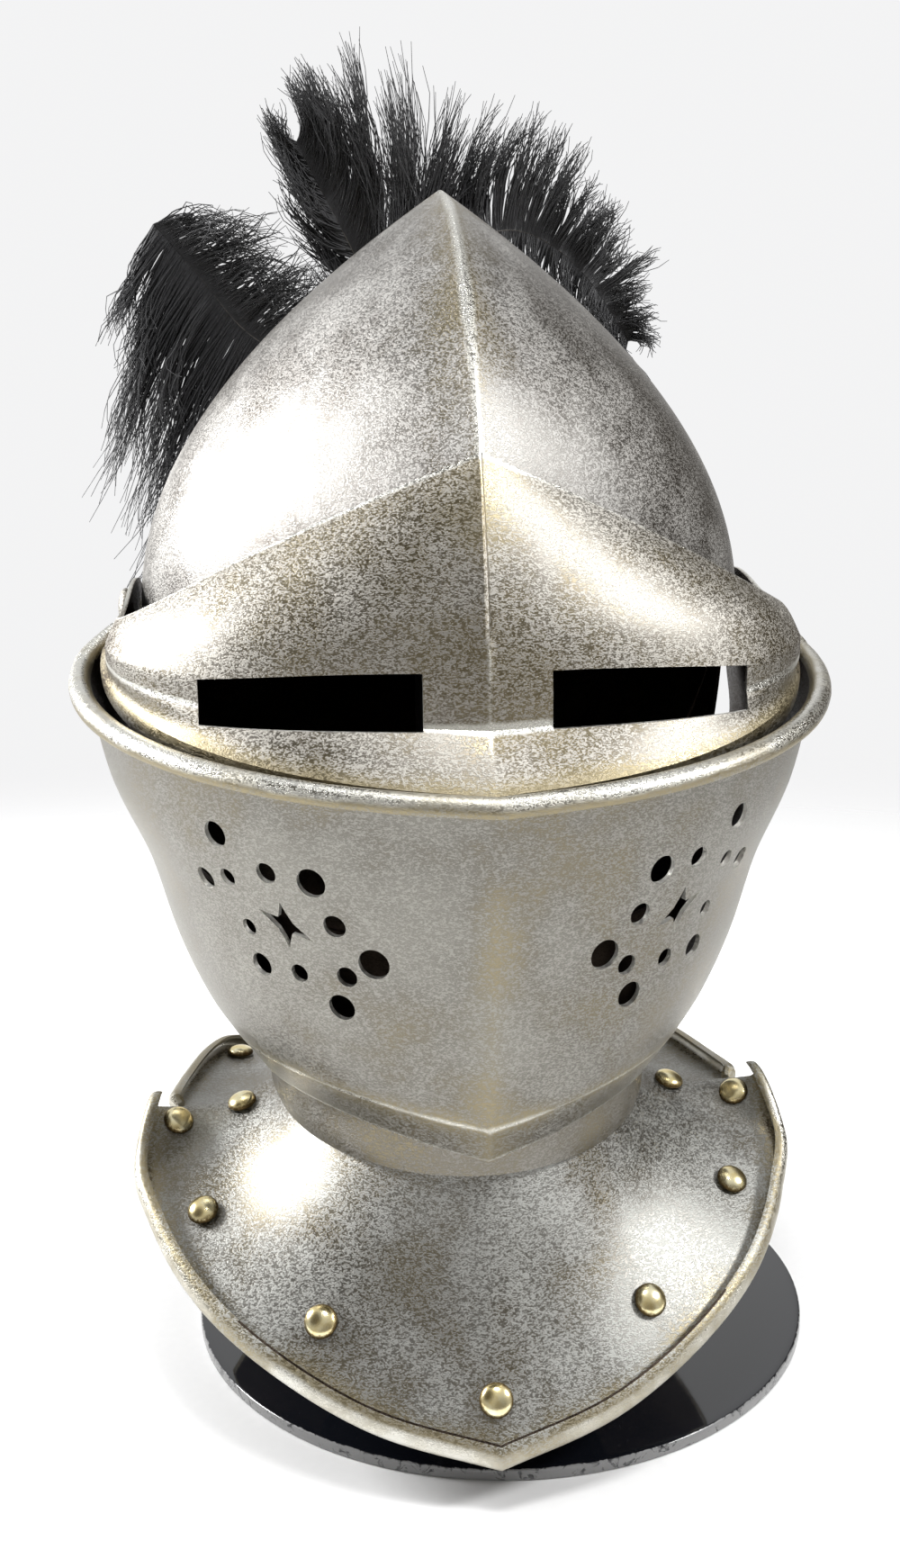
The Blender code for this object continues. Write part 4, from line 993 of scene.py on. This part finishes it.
def new_tree(name, sockets):
    tree = bpy.data.node_groups.new(name, "GeometryNodeTree")
    tree.interface.new_socket(name="Geometry", in_out="INPUT", socket_type="NodeSocketGeometry")
    for label, kind in sockets:
        tree.interface.new_socket(name=label, in_out="INPUT", socket_type=kind)
    tree.interface.new_socket(name="Geometry", in_out="OUTPUT", socket_type="NodeSocketGeometry")
    return tree, tree.nodes.new("NodeGroupInput").outputs, tree.nodes.new("NodeGroupOutput")


def give(made, tree, values):
    """Adds the modifier and sets its inputs by each socket's identifier."""
    change = made.modifiers.new("Nodes", "NODES")
    change.node_group = tree
    for item in tree.interface.items_tree:
        if item.item_type == "SOCKET" and item.in_out == "INPUT" and item.name in values:
            change[item.identifier] = values[item.name]


def plain_mesh(made, name):
    """What the nodes made, as an object with a plain mesh; the carrier goes."""
    bpy.context.view_layer.update()
    graph = bpy.context.evaluated_depsgraph_get()
    mesh = bpy.data.meshes.new_from_object(made.evaluated_get(graph))
    mesh.name = name
    bpy.data.objects.remove(made)
    return in_scene(name, mesh)


head_tree, given, result = new_tree("heads_on_seats", [
    ("Head", "NodeSocketObject"), ("Size spread", "NodeSocketFloat"), ("Seed", "NodeSocketInt"),
    ("Finish", "NodeSocketMaterial")])
t = head_tree
head = node(t, "GeometryNodeObjectInfo", {}, {"Object": given["Head"]})
facing = node(t, "GeometryNodeInputNamedAttribute", {"data_type": "FLOAT_VECTOR"}, {"Name": "out"})
aim = node(t, "FunctionNodeAlignRotationToVector", {"axis": "Z"}, {"Vector": facing.outputs["Attribute"]})
low = node(t, "ShaderNodeMath", {"operation": "SUBTRACT"}, {0: 1.0, 1: given["Size spread"]})
size = node(t, "FunctionNodeRandomValue", {}, {"Min": low.outputs[0], "Max": 1.0, "Seed": given["Seed"]})
spread_out = node(t, "GeometryNodeInstanceOnPoints", {}, {
    "Points": given["Geometry"], "Instance": head.outputs["Geometry"], "Rotation": aim.outputs["Rotation"],
    "Scale": [s for s in size.outputs if s.enabled][0]})
real = node(t, "GeometryNodeRealizeInstances", {}, {"Geometry": spread_out.outputs["Instances"]})
painted = node(t, "GeometryNodeSetMaterial", {}, {
    "Geometry": real.outputs["Geometry"], "Material": given["Finish"]})
wire(t, result, {"Geometry": painted.outputs["Geometry"]})
print("nodes in the tree:", len(t.nodes))


# %% Rivets and pivots


def seat_heads(name, seats, radius, rise, seed):
    mesh = bpy.data.meshes.new(name)
    mesh.from_pydata([s for s, out in seats], [], [])
    layer = mesh.attributes.new("out", "FLOAT_VECTOR", "POINT")
    layer.data.foreach_set("vector", [c for s, out in seats for c in out])
    carrier = in_scene(name + "_seats", mesh)
    pattern = rivet_head(name + "_pattern", radius, rise)
    give(carrier, head_tree, {"Head": pattern, "Size spread": 0.03, "Seed": seed, "Finish": brass})
    made = plain_mesh(carrier, name)
    bpy.data.objects.remove(pattern)
    return made


rivets = seat_heads("brass_rivets", rivet_seats, 0.0052, 0.0030, 3)
piece(rivets, "helmet", "brass", *rivet_names)
pivots = seat_heads("pivot_heads", pivot_seats, 0.0075, 0.0035, 4)
pivot_steel = steel("pivot_steel", 0.4, 0.4, (0.3, 0.28, 0.25), (0.7, 0.68, 0.62), 0.2, marked=False)
for slot_number in range(len(pivots.data.materials)):
    pivots.data.materials[slot_number] = pivot_steel
piece(pivots, "helmet", "steel", "pivot_left", "pivot_right")

# %% [markdown]
# ## The plume
# An ostrich plume is a quill with hundreds of soft barbs that cling together in wisps.
# Geometry Nodes lays a strand for each barb: its foot slides along the quill, its tip leans
# towards the middle of its wisp, and noise frays it. How far the wisps reach on each side of
# the quill comes from a short table, stored at the points of the quill's line.

# %% Feather material
feather_black, t, shader = shader_material("feather_black")
strand = noise(t, object_place(t), 700.0, 2.0, 0.5)
bump = node(t, "ShaderNodeBump", {}, {"Strength": 0.4, "Distance": 0.0002, "Height": strand})
wire(t, shader, {
    "Base Color": blend_colour(t, strand, (0.004, 0.004, 0.005, 1), (0.016, 0.016, 0.019, 1)),
    "Roughness": ramp(t, strand, 0.3, 0.7, 0.42, 0.62), "Sheen Weight": 0.12,
    "Normal": bump.outputs["Normal"]})
quill_horn, t, shader = shader_material("quill_horn")
streaks = noise(t, object_place(t), 400.0, 3.0, 0.6)
wire(t, shader, {
    "Base Color": blend_colour(t, streaks, (0.03, 0.026, 0.022, 1), (0.14, 0.125, 0.105, 1)),
    "Roughness": ramp(t, streaks, 0.3, 0.7, 0.35, 0.5)})
print("feather finishes:", feather_black.name, quill_horn.name)

# %% Barb tree
POINTS_PER_BARB = 10
barb_tree, given, result = new_tree("feather_barbs", [
    ("Barbs", "NodeSocketInt"), ("Wisps", "NodeSocketInt"), ("Cling", "NodeSocketFloat"),
    ("Fray", "NodeSocketFloat"), ("Curl", "NodeSocketFloat"), ("Depth", "NodeSocketFloat"),
    ("Uneven length", "NodeSocketFloat"), ("Thickness", "NodeSocketFloat"), ("Seed", "NodeSocketInt"),
    ("Finish", "NodeSocketMaterial")])
t = barb_tree


def number(operation, a, b=0.0, c=0.0):
    return node(t, "ShaderNodeMath", {"operation": operation}, {0: a, 1: b, 2: c}).outputs[0]


def arrow(operation, a, b=(0, 0, 0)):
    return node(t, "ShaderNodeVectorMath", {"operation": operation}, {0: a, 1: b}).outputs[0]


def times(vector, factor):
    return node(t, "ShaderNodeVectorMath", {"operation": "SCALE"}, {0: vector, "Scale": factor}).outputs[0]


def chance(low, high, marker, shift):
    """A random number for each marker, the same every run."""
    item = node(t, "FunctionNodeRandomValue", {}, {})
    seed = node(t, "ShaderNodeMath", {}, {0: given["Seed"], 1: float(shift)}).outputs[0]
    for socket in [s for s in item.inputs if s.enabled]:
        if socket.name == "Min":
            socket.default_value = low
        elif socket.name == "Max":
            socket.default_value = high
        elif socket.name == "ID":
            t.links.new(marker, socket)
        elif socket.name == "Seed":
            t.links.new(seed, socket)
    return [s for s in item.outputs if s.enabled][0]


quill_line = node(t, "GeometryNodeMeshToCurve", {}, {"Mesh": given["Geometry"]}).outputs[0]
rod = node(t, "GeometryNodeCurvePrimitiveLine", {}, {"End": (0.0, 0.0, 0.01)}).outputs[0]
rod = node(t, "GeometryNodeResampleCurve", {}, {"Curve": rod, "Count": POINTS_PER_BARB}).outputs[0]
feet = node(t, "GeometryNodePoints", {}, {"Count": given["Barbs"]}).outputs[0]
rods = node(t, "GeometryNodeInstanceOnPoints", {}, {"Points": feet, "Instance": rod}).outputs[0]
strands = node(t, "GeometryNodeRealizeInstances", {}, {"Geometry": rods}).outputs[0]
index = t.nodes.new("GeometryNodeInputIndex").outputs[0]
barb = number("FLOOR", number("DIVIDE", number("ADD", index, 0.5), float(POINTS_PER_BARB)))
step = number("DIVIDE", number("SUBTRACT", index, number("MULTIPLY", barb, float(POINTS_PER_BARB))),
              POINTS_PER_BARB - 1.0)
root_share = number("DIVIDE", number("ADD", barb, chance(0.1, 0.9, barb, 1)), given["Barbs"])
wisp = number("FLOOR", number("MULTIPLY", root_share, given["Wisps"]))
wisp_share = number("DIVIDE", number("ADD", wisp, chance(0.2, 0.8, wisp, 2)), given["Wisps"])
print("barb tree so far:", len(t.nodes), "nodes")


# %% Barb tree, the strands' shape


def on_quill(share, name):
    """A stored vector and the place at a share of the quill's length."""
    stored = node(t, "GeometryNodeInputNamedAttribute", {"data_type": "FLOAT_VECTOR"}, {"Name": name})
    item = node(t, "GeometryNodeSampleCurve", {
        "mode": "FACTOR", "use_all_curves": True, "data_type": "FLOAT_VECTOR"}, {"Curves": quill_line})
    value = [s for s in item.inputs if s.name == "Value" and s.enabled][0]
    t.links.new(stored.outputs["Attribute"], value)
    t.links.new(share, item.inputs["Factor"])
    return [s for s in item.outputs if s.name == "Value" and s.enabled][0], item.outputs["Position"]


def shake(marker, shift):
    """A random vector from -1 to 1 for each marker."""
    parts = [chance(-1.0, 1.0, marker, shift + k) for k in range(3)]
    return node(t, "ShaderNodeCombineXYZ", {}, {0: parts[0], 1: parts[1], 2: parts[2]}).outputs[0]


own_reach, foot_place = on_quill(root_share, "reach")
wisp_reach, wisp_place = on_quill(wisp_share, "reach")
wisp_bow = on_quill(wisp_share, "bow")[0]
own_tip = arrow("ADD", foot_place, own_reach)
wisp_tip = arrow("ADD", wisp_place, wisp_reach)
tip = arrow("ADD", own_tip, times(arrow("SUBTRACT", wisp_tip, own_tip), given["Cling"]))
wisp_length = number("SUBTRACT", 1.0, number("MULTIPLY", chance(0.0, 1.0, wisp, 3), given["Uneven length"]))
barb_short = number("POWER", chance(0.0, 1.0, barb, 4), 3.0)
barb_length = number("MULTIPLY", wisp_length, number("SUBTRACT", 1.0, number("MULTIPLY", barb_short, 0.45)))
lean = times(arrow("SUBTRACT", tip, foot_place), barb_length)
size = node(t, "ShaderNodeVectorMath", {"operation": "LENGTH"}, {0: lean}).outputs["Value"]
lean = arrow("ADD", lean, times(shake(barb, 10), number("MULTIPLY", size, given["Fray"])))
wisp_fray = number("MULTIPLY", given["Fray"], 1.5)
lean = arrow("ADD", lean, times(shake(wisp, 20), number("MULTIPLY", size, wisp_fray)))
aside = number("ADD", chance(-0.6, 0.6, wisp, 30), chance(-0.4, 0.4, barb, 31))
depth = number("MULTIPLY", aside, given["Depth"])
lean = arrow("ADD", lean, node(t, "ShaderNodeCombineXYZ", {}, {1: depth}).outputs[0])
there = number("MULTIPLY", step, number("ADD", number("MULTIPLY", step, 0.4), 0.6))
arch = number("MULTIPLY", number("MULTIPLY", step, number("SUBTRACT", 1.0, step)), 2.0)
place = arrow("ADD", foot_place, times(lean, there))
place = arrow("ADD", place, times(wisp_bow, number("MULTIPLY", arch, chance(0.7, 1.3, barb, 40))))
drift = node(t, "ShaderNodeCombineXYZ", {}, {
    0: number("MULTIPLY", wisp, 3.7), 1: number("MULTIPLY", barb, 0.37),
    2: number("MULTIPLY", step, 1.6)}).outputs[0]
stir = node(t, "ShaderNodeTexNoise", {}, {"Vector": drift, "Scale": 1.0, "Detail": 1.0}).outputs["Color"]
stir = arrow("SUBTRACT", stir, (0.5, 0.5, 0.5))
place = arrow("ADD", place, times(stir, number("MULTIPLY", given["Curl"], number("POWER", step, 1.4))))
laid = node(t, "GeometryNodeSetPosition", {}, {"Geometry": strands, "Position": place}).outputs[0]
thin = number("MULTIPLY", given["Thickness"], number("SUBTRACT", 1.0, number("MULTIPLY", step, 0.72)))
ring = node(t, "GeometryNodeCurvePrimitiveCircle", {}, {"Resolution": 3, "Radius": 1.0}).outputs[0]
tube = node(t, "GeometryNodeCurveToMesh", {}, {
    "Curve": laid, "Profile Curve": ring, "Scale": thin, "Fill Caps": True}).outputs[0]
solid = node(t, "GeometryNodeRealizeInstances", {}, {"Geometry": tube}).outputs[0]
black = node(t, "GeometryNodeSetMaterial", {}, {"Geometry": solid, "Material": given["Finish"]}).outputs[0]
wire(t, result, {"Geometry": black})
print("barb tree:", len(t.nodes), "nodes")

# %% [markdown]
# The three feathers stand in the brass holder behind the keel: one falls to the helmet's
# right, one stands up as a crest, and one sweeps over to the left. Their lines and reaches
# are those of the solid model, with more wisps and some depth.

# %% Feather lines
HOLDER_RADIUS, HOLDER_LENGTH, HOLDER_WALL, HOLDER_ANGLE, QUILL_ROOT = 0.0080, 0.046, 0.0010, 158.0, 0.0011


def keel_place(angle, out):
    around = math.radians(angle)
    reach = keel_reach(angle) + out
    return Vector((0.0, PIVOT_Y - reach * math.cos(around), PIVOT_Z + reach * math.sin(around)))


def holder_line(far):
    out = HOLDER_RADIUS + SEAT_GAP / 3
    base = keel_place(HOLDER_ANGLE, out)
    return base + (keel_place(HOLDER_ANGLE - 4.0, out) - base).normalized() * far


def smooth_path(keys, count):
    """Catmull-Rom points through the keys."""
    ends = [keys[0] * 2 - keys[1]] + keys + [keys[-1] * 2 - keys[-2]]
    path = []
    spans = len(keys) - 1
    for i in range(count + 1):
        u = spans * i / count
        k = min(int(u), spans - 1)
        v = u - k
        p0, p1, p2, p3 = ends[k:k + 4]
        path.append(0.5 * ((2 * p1) + (p2 - p0) * v + (2 * p0 - 5 * p1 + 4 * p2 - p3) * v * v
                           + (3 * p1 - p0 - 3 * p2 + p3) * v * v * v))
    return path


print("holder foot, mm:", [round(1000 * c, 1) for c in holder_line(0.0)])

# %% Feather tables
# points of the quill above its holder, then for each side the share along the quill
# and the offset of the barbs' tips, sideways and upward
FALL = (
    (
        (-0.0038, 0.1550, 0.3345), (-0.012, 0.1602, 0.343), (-0.030, 0.167, 0.350),
        (-0.052, 0.170, 0.354), (-0.072, 0.171, 0.366), (-0.090, 0.171, 0.388), (-0.108, 0.171, 0.409),
    ),
    ((0.0, 0.0, 0.0), (0.42, 0.0, 0.0), (0.52, -0.044, -0.084), (0.62, -0.056, -0.098),
     (0.75, -0.058, -0.104), (0.9, -0.036, -0.085), (1.0, -0.020, -0.040)),
    ((0.0, 0.0, 0.0), (0.42, 0.0, 0.0), (0.50, 0.014, 0.034), (0.60, 0.030, 0.038),
     (0.75, 0.042, 0.026), (0.9, 0.044, 0.012), (1.0, 0.036, 0.006)),
)
CREST = (
    (
        (0.0, 0.1550, 0.3345), (-0.002, 0.1566, 0.345), (-0.008, 0.1595, 0.362),
        (-0.018, 0.161, 0.385), (-0.028, 0.160, 0.405), (-0.038, 0.160, 0.424), (-0.046, 0.160, 0.440),
    ),
    ((0.0, 0.0, 0.0), (0.42, 0.0, 0.0), (0.50, -0.032, 0.026), (0.65, -0.034, 0.030),
     (0.82, -0.026, 0.026), (1.0, -0.014, 0.018)),
    ((0.0, 0.0, 0.0), (0.36, 0.0, 0.0), (0.44, 0.020, 0.086), (0.60, 0.006, 0.094),
     (0.80, -0.002, 0.070), (1.0, -0.004, 0.036)),
)
SWEEP = (
    (
        (0.0038, 0.1550, 0.3345), (0.008, 0.1508, 0.346), (0.013, 0.1480, 0.370),
        (0.023, 0.149, 0.392), (0.039, 0.150, 0.403), (0.058, 0.151, 0.399), (0.077, 0.151, 0.383),
        (0.094, 0.151, 0.358),
    ),
    ((0.0, 0.0, 0.0), (0.35, 0.0, 0.0), (0.42, -0.014, 0.066), (0.48, -0.006, 0.080),
     (0.56, 0.006, 0.068), (0.68, 0.014, 0.054), (0.80, 0.020, 0.038), (0.92, 0.022, 0.018),
     (1.0, 0.018, -0.008)),
    ((0.0, 0.0, 0.0), (0.40, 0.0, 0.0), (0.50, 0.014, -0.020), (0.62, 0.006, -0.026),
     (0.80, -0.004, -0.028), (1.0, 0.004, -0.024)),
)
print("quill points:", len(FALL[0]), len(CREST[0]), len(SWEEP[0]))

# %% Quills


def quill_object(name, path, side, rows):
    """The quill's line, with the reach and the bow of its barbs on one side stored on it."""
    mesh = bpy.data.meshes.new(name)
    mesh.from_pydata(path, [(i, i + 1) for i in range(len(path) - 1)], [])
    reaches, bows = [], []
    for i, p in enumerate(path):
        share = i / (len(path) - 1)
        along = (path[min(i + 1, len(path) - 1)] - path[max(i - 1, 0)]).normalized()
        across = along.cross(Vector((0.0, -1.0, 0.0))).normalized() * side
        reach = Vector((read_line([(r[0], r[1]) for r in rows], share), 0.0,
                        read_line([(r[0], r[2]) for r in rows], share)))
        reaches += list(reach)
        bows += list(across * reach.length * 0.22)
    for label, values in (("reach", reaches), ("bow", bows)):
        layer = mesh.attributes.new(label, "FLOAT_VECTOR", "POINT")
        layer.data.foreach_set("vector", values)
    return in_scene(name, mesh)


def quill_tube(path, work, sides=8):
    rings = []
    for i, p in enumerate(path):
        along = (path[min(i + 1, len(path) - 1)] - path[max(i - 1, 0)]).normalized()
        across = along.cross(Vector((0.0, -1.0, 0.0))).normalized()
        other = along.cross(across)
        radius = QUILL_ROOT * lerp(1.0, 0.22, ease(i / (len(path) - 1)))
        turns = [math.tau * k / sides for k in range(sides)]
        ways = [across * math.cos(a) + other * math.sin(a) for a in turns]
        rings.append([work.verts.new(p + way * radius) for way in ways])
    for a, b in zip(rings, rings[1:]):
        for k in range(sides):
            n = (k + 1) % sides
            work.faces.new((a[k], a[n], b[n], b[k])).material_index = 1
    work.faces.new(rings[0][::-1]).material_index = 1
    work.faces.new(rings[-1]).material_index = 1


print("quill at its root, mm across:", 2000 * QUILL_ROOT)

# %% Feathers
QUILL_STEPS, SHORTEST_BARB = 80, 0.006


def feather(name, shape, settings):
    """One feather: its quill from the holder on, and the barbs on both sides."""
    keys, left_rows, right_rows = shape
    foot = [holder_line(far) + Vector((keys[0][0], 0.0, 0.0)) for far in (SEAT_GAP, 0.010, 0.020)]
    path = smooth_path(foot + [Vector(k) for k in keys], QUILL_STEPS)
    work = bmesh.new()
    quill_tube(path, work)
    bmesh.ops.recalc_face_normals(work, faces=work.faces)
    for side, rows, extra in ((-1, left_rows, settings[0]), (1, right_rows, settings[1])):
        lengths = [(r[0], math.hypot(r[1], r[2])) for r in rows]
        first = next(i for i in range(len(path)) if read_line(lengths, i / QUILL_STEPS) > SHORTEST_BARB)
        trimmed = quill_object(name + "_side", path[first:], side, [
            ((r[0] * QUILL_STEPS - first) / (QUILL_STEPS - first), r[1], r[2]) for r in rows])
        give(trimmed, barb_tree, dict(extra, Finish=feather_black))
        strands_made = plain_mesh(trimmed, name + "_strands")
        work.from_mesh(strands_made.data)
        bpy.data.objects.remove(strands_made)
    mesh = mesh_from(name, work)
    mesh.shade_smooth()
    mesh.materials.append(feather_black)
    mesh.materials.append(quill_horn)
    return in_scene(name, mesh)


# The depth is small, so that the barbs stand only a little past the solid feathers.
COMMON = {
    "Cling": 0.70, "Fray": 0.075, "Curl": 0.022, "Depth": 0.0155, "Uneven length": 0.34, "Thickness": 0.00046}
fall_plume = feather("fall_plume", FALL, (
    dict(COMMON, Barbs=1050, Wisps=40, Seed=11, Cling=0.45, Curl=0.03),
    dict(COMMON, Barbs=760, Wisps=26, Seed=12, Curl=0.045, Cling=0.55)))
piece(fall_plume, "helmet", "feather", "plume_fall")
crest_plume = feather("crest_plume", CREST, (
    dict(COMMON, Barbs=560, Wisps=16, Seed=21), dict(COMMON, Barbs=900, Wisps=22, Seed=22)))
piece(crest_plume, "helmet", "feather", "plume_crest")
sweep_plume = feather("sweep_plume", SWEEP, (
    dict(COMMON, Barbs=1300, Wisps=34, Seed=31), dict(COMMON, Barbs=600, Wisps=24, Seed=32)))
piece(sweep_plume, "helmet", "feather", "plume_sweep")

# %% [markdown]
# ## Plume holder
# A short brass tube, closed below, holds the quills. Its rim is beaded.

# %% Plume holder
inner = HOLDER_RADIUS - HOLDER_WALL
half = HOLDER_LENGTH / 2
bead = [(HOLDER_RADIUS - 0.0005 + 0.0005 * math.sin(a), half - 0.0005 + 0.0005 * math.cos(a))
        for a in (math.pi * k / 16 for k in range(9))]
holder = turned("brass_holder", [(0.0, 0.0), (inner, 0.0), (inner, half)] + bead + [
    (HOLDER_RADIUS, -half + 0.0006), (HOLDER_RADIUS - 0.0006, -half), (0.0, -half)], 48, [brass])
way = (holder_line(0.01) - holder_line(0.0)).normalized()
holder.data.transform(Matrix.Translation(holder_line(0.0)) @ way.to_track_quat("Z", "Y").to_matrix().to_4x4())
mark(holder, "foot", lambda p: 0.62)
piece(holder, "helmet", "brass", "plume_holder")

# %% [markdown]
# ## The stand
# The helmet stands on a black lacquered steel disc. Its rounded edge is pale, partly worn
# and partly a painted highlight, and fine dust and hairline scuffs break its gloss. A post
# and a felt ball under the crown carry the weight, out of sight.

# %% Stand finishes
lacquer, t, shader = shader_material("black_lacquer")
where = object_place(t)
scuff = noise(t, where, 260.0, 3.0, 0.65, 1.0)
dust = noise(t, where, 2600.0, 2.0, 0.5)
cloudy = noise(t, where, 18.0, 3.0, 0.5)
# The pale rounded edge is partly wear and partly a painted highlight.
worn = attribute(t, "worn")
worn_and_highlight_share = ramp(t, calc(t, "ADD", worn, calc(t, "MULTIPLY", calc(t, "SUBTRACT", scuff, 0.5), 0.9)), 0.80, 0.98)
specks = ramp(t, dust, 0.70, 0.78)
base = blend_colour(t, calc(t, "MULTIPLY", specks, 0.16), (0.006, 0.007, 0.010, 1), (0.30, 0.32, 0.36, 1))
wire(t, shader, {
    "Base Color": blend_colour(t, worn_and_highlight_share, base, (0.20, 0.20, 0.20, 1)), "Coat Weight": 0.4,
    "Roughness": calc(t, "ADD", calc(t, "MULTIPLY", cloudy, 0.10), calc(t, "MULTIPLY", worn_and_highlight_share, 0.3))})
post_paint, t, shader = shader_material("post_paint")
wood = noise(t, object_place(t), 120.0, 4.0, 0.6)
wire(t, shader, {"Base Color": blend_colour(t, wood, (0.008, 0.008, 0.009, 1), (0.03, 0.028, 0.026, 1)),
                 "Roughness": ramp(t, wood, 0.3, 0.7, 0.4, 0.6)})
felt, t, shader = shader_material("black_felt")
nap = noise(t, object_place(t), 900.0, 4.0, 0.7)
bump = node(t, "ShaderNodeBump", {}, {"Strength": 0.8, "Distance": 0.0006, "Height": nap})
wire(t, shader, {"Base Color": blend_colour(t, nap, (0.010, 0.010, 0.011, 1), (0.05, 0.05, 0.052, 1)),
                 "Roughness": 0.95, "Sheen Weight": 0.3, "Normal": bump.outputs["Normal"]})
print("stand finishes:", lacquer.name, post_paint.name, felt.name)

# %% Stand pieces
DISC_RADIUS, DISC_THICK, DISC_SHIFT, DISC_CHAMFER = 0.110, 0.0040, 0.015, 0.0008
POST_RADIUS, POST_Y = 0.010, 0.030
edge = DISC_RADIUS - DISC_CHAMFER
arc = [(edge + DISC_CHAMFER * math.sin(a), DISC_THICK - DISC_CHAMFER + DISC_CHAMFER * math.cos(a))
       for a in (math.pi / 2 * k / 6 for k in range(7))]
under = [(r, DISC_THICK - z) for r, z in arc[::-1]]
flat = [(0.0, DISC_THICK), (edge * 0.5, DISC_THICK), (edge - 0.002, DISC_THICK)]
disc = turned("lacquered_disc", flat + arc + under + [(0.0, 0.0)], 160, [lacquer])
disc.data.transform(Matrix.Translation((DISC_SHIFT, 0.0, 0.0)))
# Pale rounded edge: partly wear, partly a painted highlight.
mark(disc, "worn", lambda p: ease((math.hypot(p.x - DISC_SHIFT, p.y) - edge + 0.001) / 0.0018))
piece(disc, "helmet", "black_lacquer", "stand_disc")

# %% Pad and post
low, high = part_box("stand_pad")
radius = (high.x - low.x) / 2
ball_centre = high.z - radius
low_angle = math.acos(min(1.0, (ball_centre - low.z) / radius))
ball = [(radius * math.sin(a), radius * math.cos(a))
        for a in (lerp(0.0, math.pi - low_angle, k / 24) for k in range(25))]
pad = turned("felt_pad", ball + [(0.0, ball[-1][1])], 48, [felt])
pad.data.transform(Matrix.Translation((0.0, PIVOT_Y, ball_centre)))
piece(pad, "helmet", "felt", "stand_pad")
low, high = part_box("stand_post")
bevel = 0.0006
post = turned("painted_post", [
    (0.0, high.z), (POST_RADIUS - bevel, high.z), (POST_RADIUS, high.z - bevel),
    (POST_RADIUS, low.z + bevel), (POST_RADIUS - bevel, low.z), (0.0, low.z)], 48, [post_paint])
post.data.transform(Matrix.Translation((0.0, POST_Y, 0.0)))
piece(post, "helmet", "black_paint", "stand_post")

# %% [markdown]
# ## Floor and light
# The helmet stood on white paper in a bright room. A pale floor fades into an equally pale
# background. What the steel mirrors matters more than what lights it: broad bright areas to
# the left and overhead, a smaller one to the right, and darker parts of the room between.

# %% Floor
FLOOR_RADIUS, FADE_FROM, FADE_TO = 3.0, 0.30, 1.25
floor_work = bmesh.new()
bmesh.ops.create_circle(floor_work, cap_ends=True, segments=96, radius=FLOOR_RADIUS)
floor_mesh = mesh_from("floor", floor_work)
floor = in_scene("floor", floor_mesh)
paper, t, shader = shader_material("white_paper")
where = object_place(t)
tooth = noise(t, where, 300.0, 2.0, 0.5)
wire(t, shader, {
    "Base Color": blend_colour(t, tooth, (0.86, 0.86, 0.86, 1), (0.90, 0.90, 0.90, 1)), "Roughness": 0.7})
far_off = node(t, "ShaderNodeVectorMath", {"operation": "LENGTH"}, {0: where}).outputs["Value"]
clear = t.nodes.new("ShaderNodeBsdfTransparent")
fade = node(t, "ShaderNodeMixShader", {}, {
    0: ramp(t, far_off, FADE_FROM, FADE_TO), 1: shader.outputs[0], 2: clear.outputs[0]})
t.links.new(fade.outputs[0], t.nodes["Material Output"].inputs["Surface"])
floor_mesh.materials.append(paper)
print("floor radius, m:", FLOOR_RADIUS)

# %% Room
world = bpy.data.worlds.new("studio")
bpy.context.scene.world = world
world.use_nodes = True
t = world.node_tree
t.nodes.clear()
direction = t.nodes.new("ShaderNodeTexCoord").outputs["Generated"]


def patch(way, inner, outer):
    """1 in the middle of a part of the room, 0 outside it, by angle from its direction."""
    aim = Vector(way).normalized()
    dot = node(t, "ShaderNodeVectorMath", {"operation": "DOT_PRODUCT"}, {0: direction, 1: aim})
    return ramp(t, dot.outputs["Value"], math.cos(math.radians(outer)), math.cos(math.radians(inner)))


bpy.context.scene.view_settings.view_transform = "Standard"
room = (0.50, 0.50, 0.50, 1)
# direction, angle of the full part, angle where it has faded out, colour, share
for way, inner, outer, colour, share in (
        ((0.0, 1.0, 0.1), 20, 75, (0.95, 0.95, 0.95, 1), 0.85),
        ((0.0, 0.1, 1.0), 10, 60, (0.85, 0.86, 0.88, 1), 0.8),
        ((-0.60, -0.34, 0.68), 10, 33, (0.07, 0.06, 0.045, 1), 0.95),
        ((0.84, 0.46, 0.28), 16, 42, (0.07, 0.058, 0.042, 1), 1.0),
        ((0.25, -0.95, 0.10), 6, 40, (0.20, 0.18, 0.15, 1), 0.8),
        ((0.0, -0.90, -0.45), 10, 48, (0.20, 0.18, 0.15, 1), 0.85)):
    room = blend_colour(t, calc(t, "MULTIPLY", patch(way, inner, outer), share), room, colour)
seen = t.nodes.new("ShaderNodeLightPath").outputs["Is Camera Ray"]
shown = blend_colour(t, seen, room, (0.90, 0.90, 0.905, 1))
sky = node(t, "ShaderNodeBackground", {}, {"Color": shown, "Strength": 1.0})
t.links.new(sky.outputs[0], t.nodes.new("ShaderNodeOutputWorld").inputs["Surface"])
print("room nodes:", len(t.nodes))

# %% Lights
LIT_POINT = Vector((0.0, 0.0, 0.2))
# name, direction from the lit point, distance, width, power
for name, way, far, size, power in (
        ("left_window", (-0.86, 0.25, 0.42), 1.3, 0.46, 24.0),
        ("right_lamp", (0.77, -0.30, 0.56), 1.4, 0.30, 14.0),
        ("ceiling", (0.03, -0.24, 1.0), 1.5, 0.42, 13.0)):
    lamp = bpy.data.lights.new(name, "AREA")
    lamp.shape = "DISK"
    lamp.size = size
    lamp.energy = power
    made = in_scene(name, lamp)
    aim = Vector(way).normalized()
    tilt = aim.to_track_quat("Z", "Y").to_matrix().to_4x4()
    made.matrix_world = Matrix.Translation(LIT_POINT + aim * far) @ tilt
    print(name, "watts:", power)
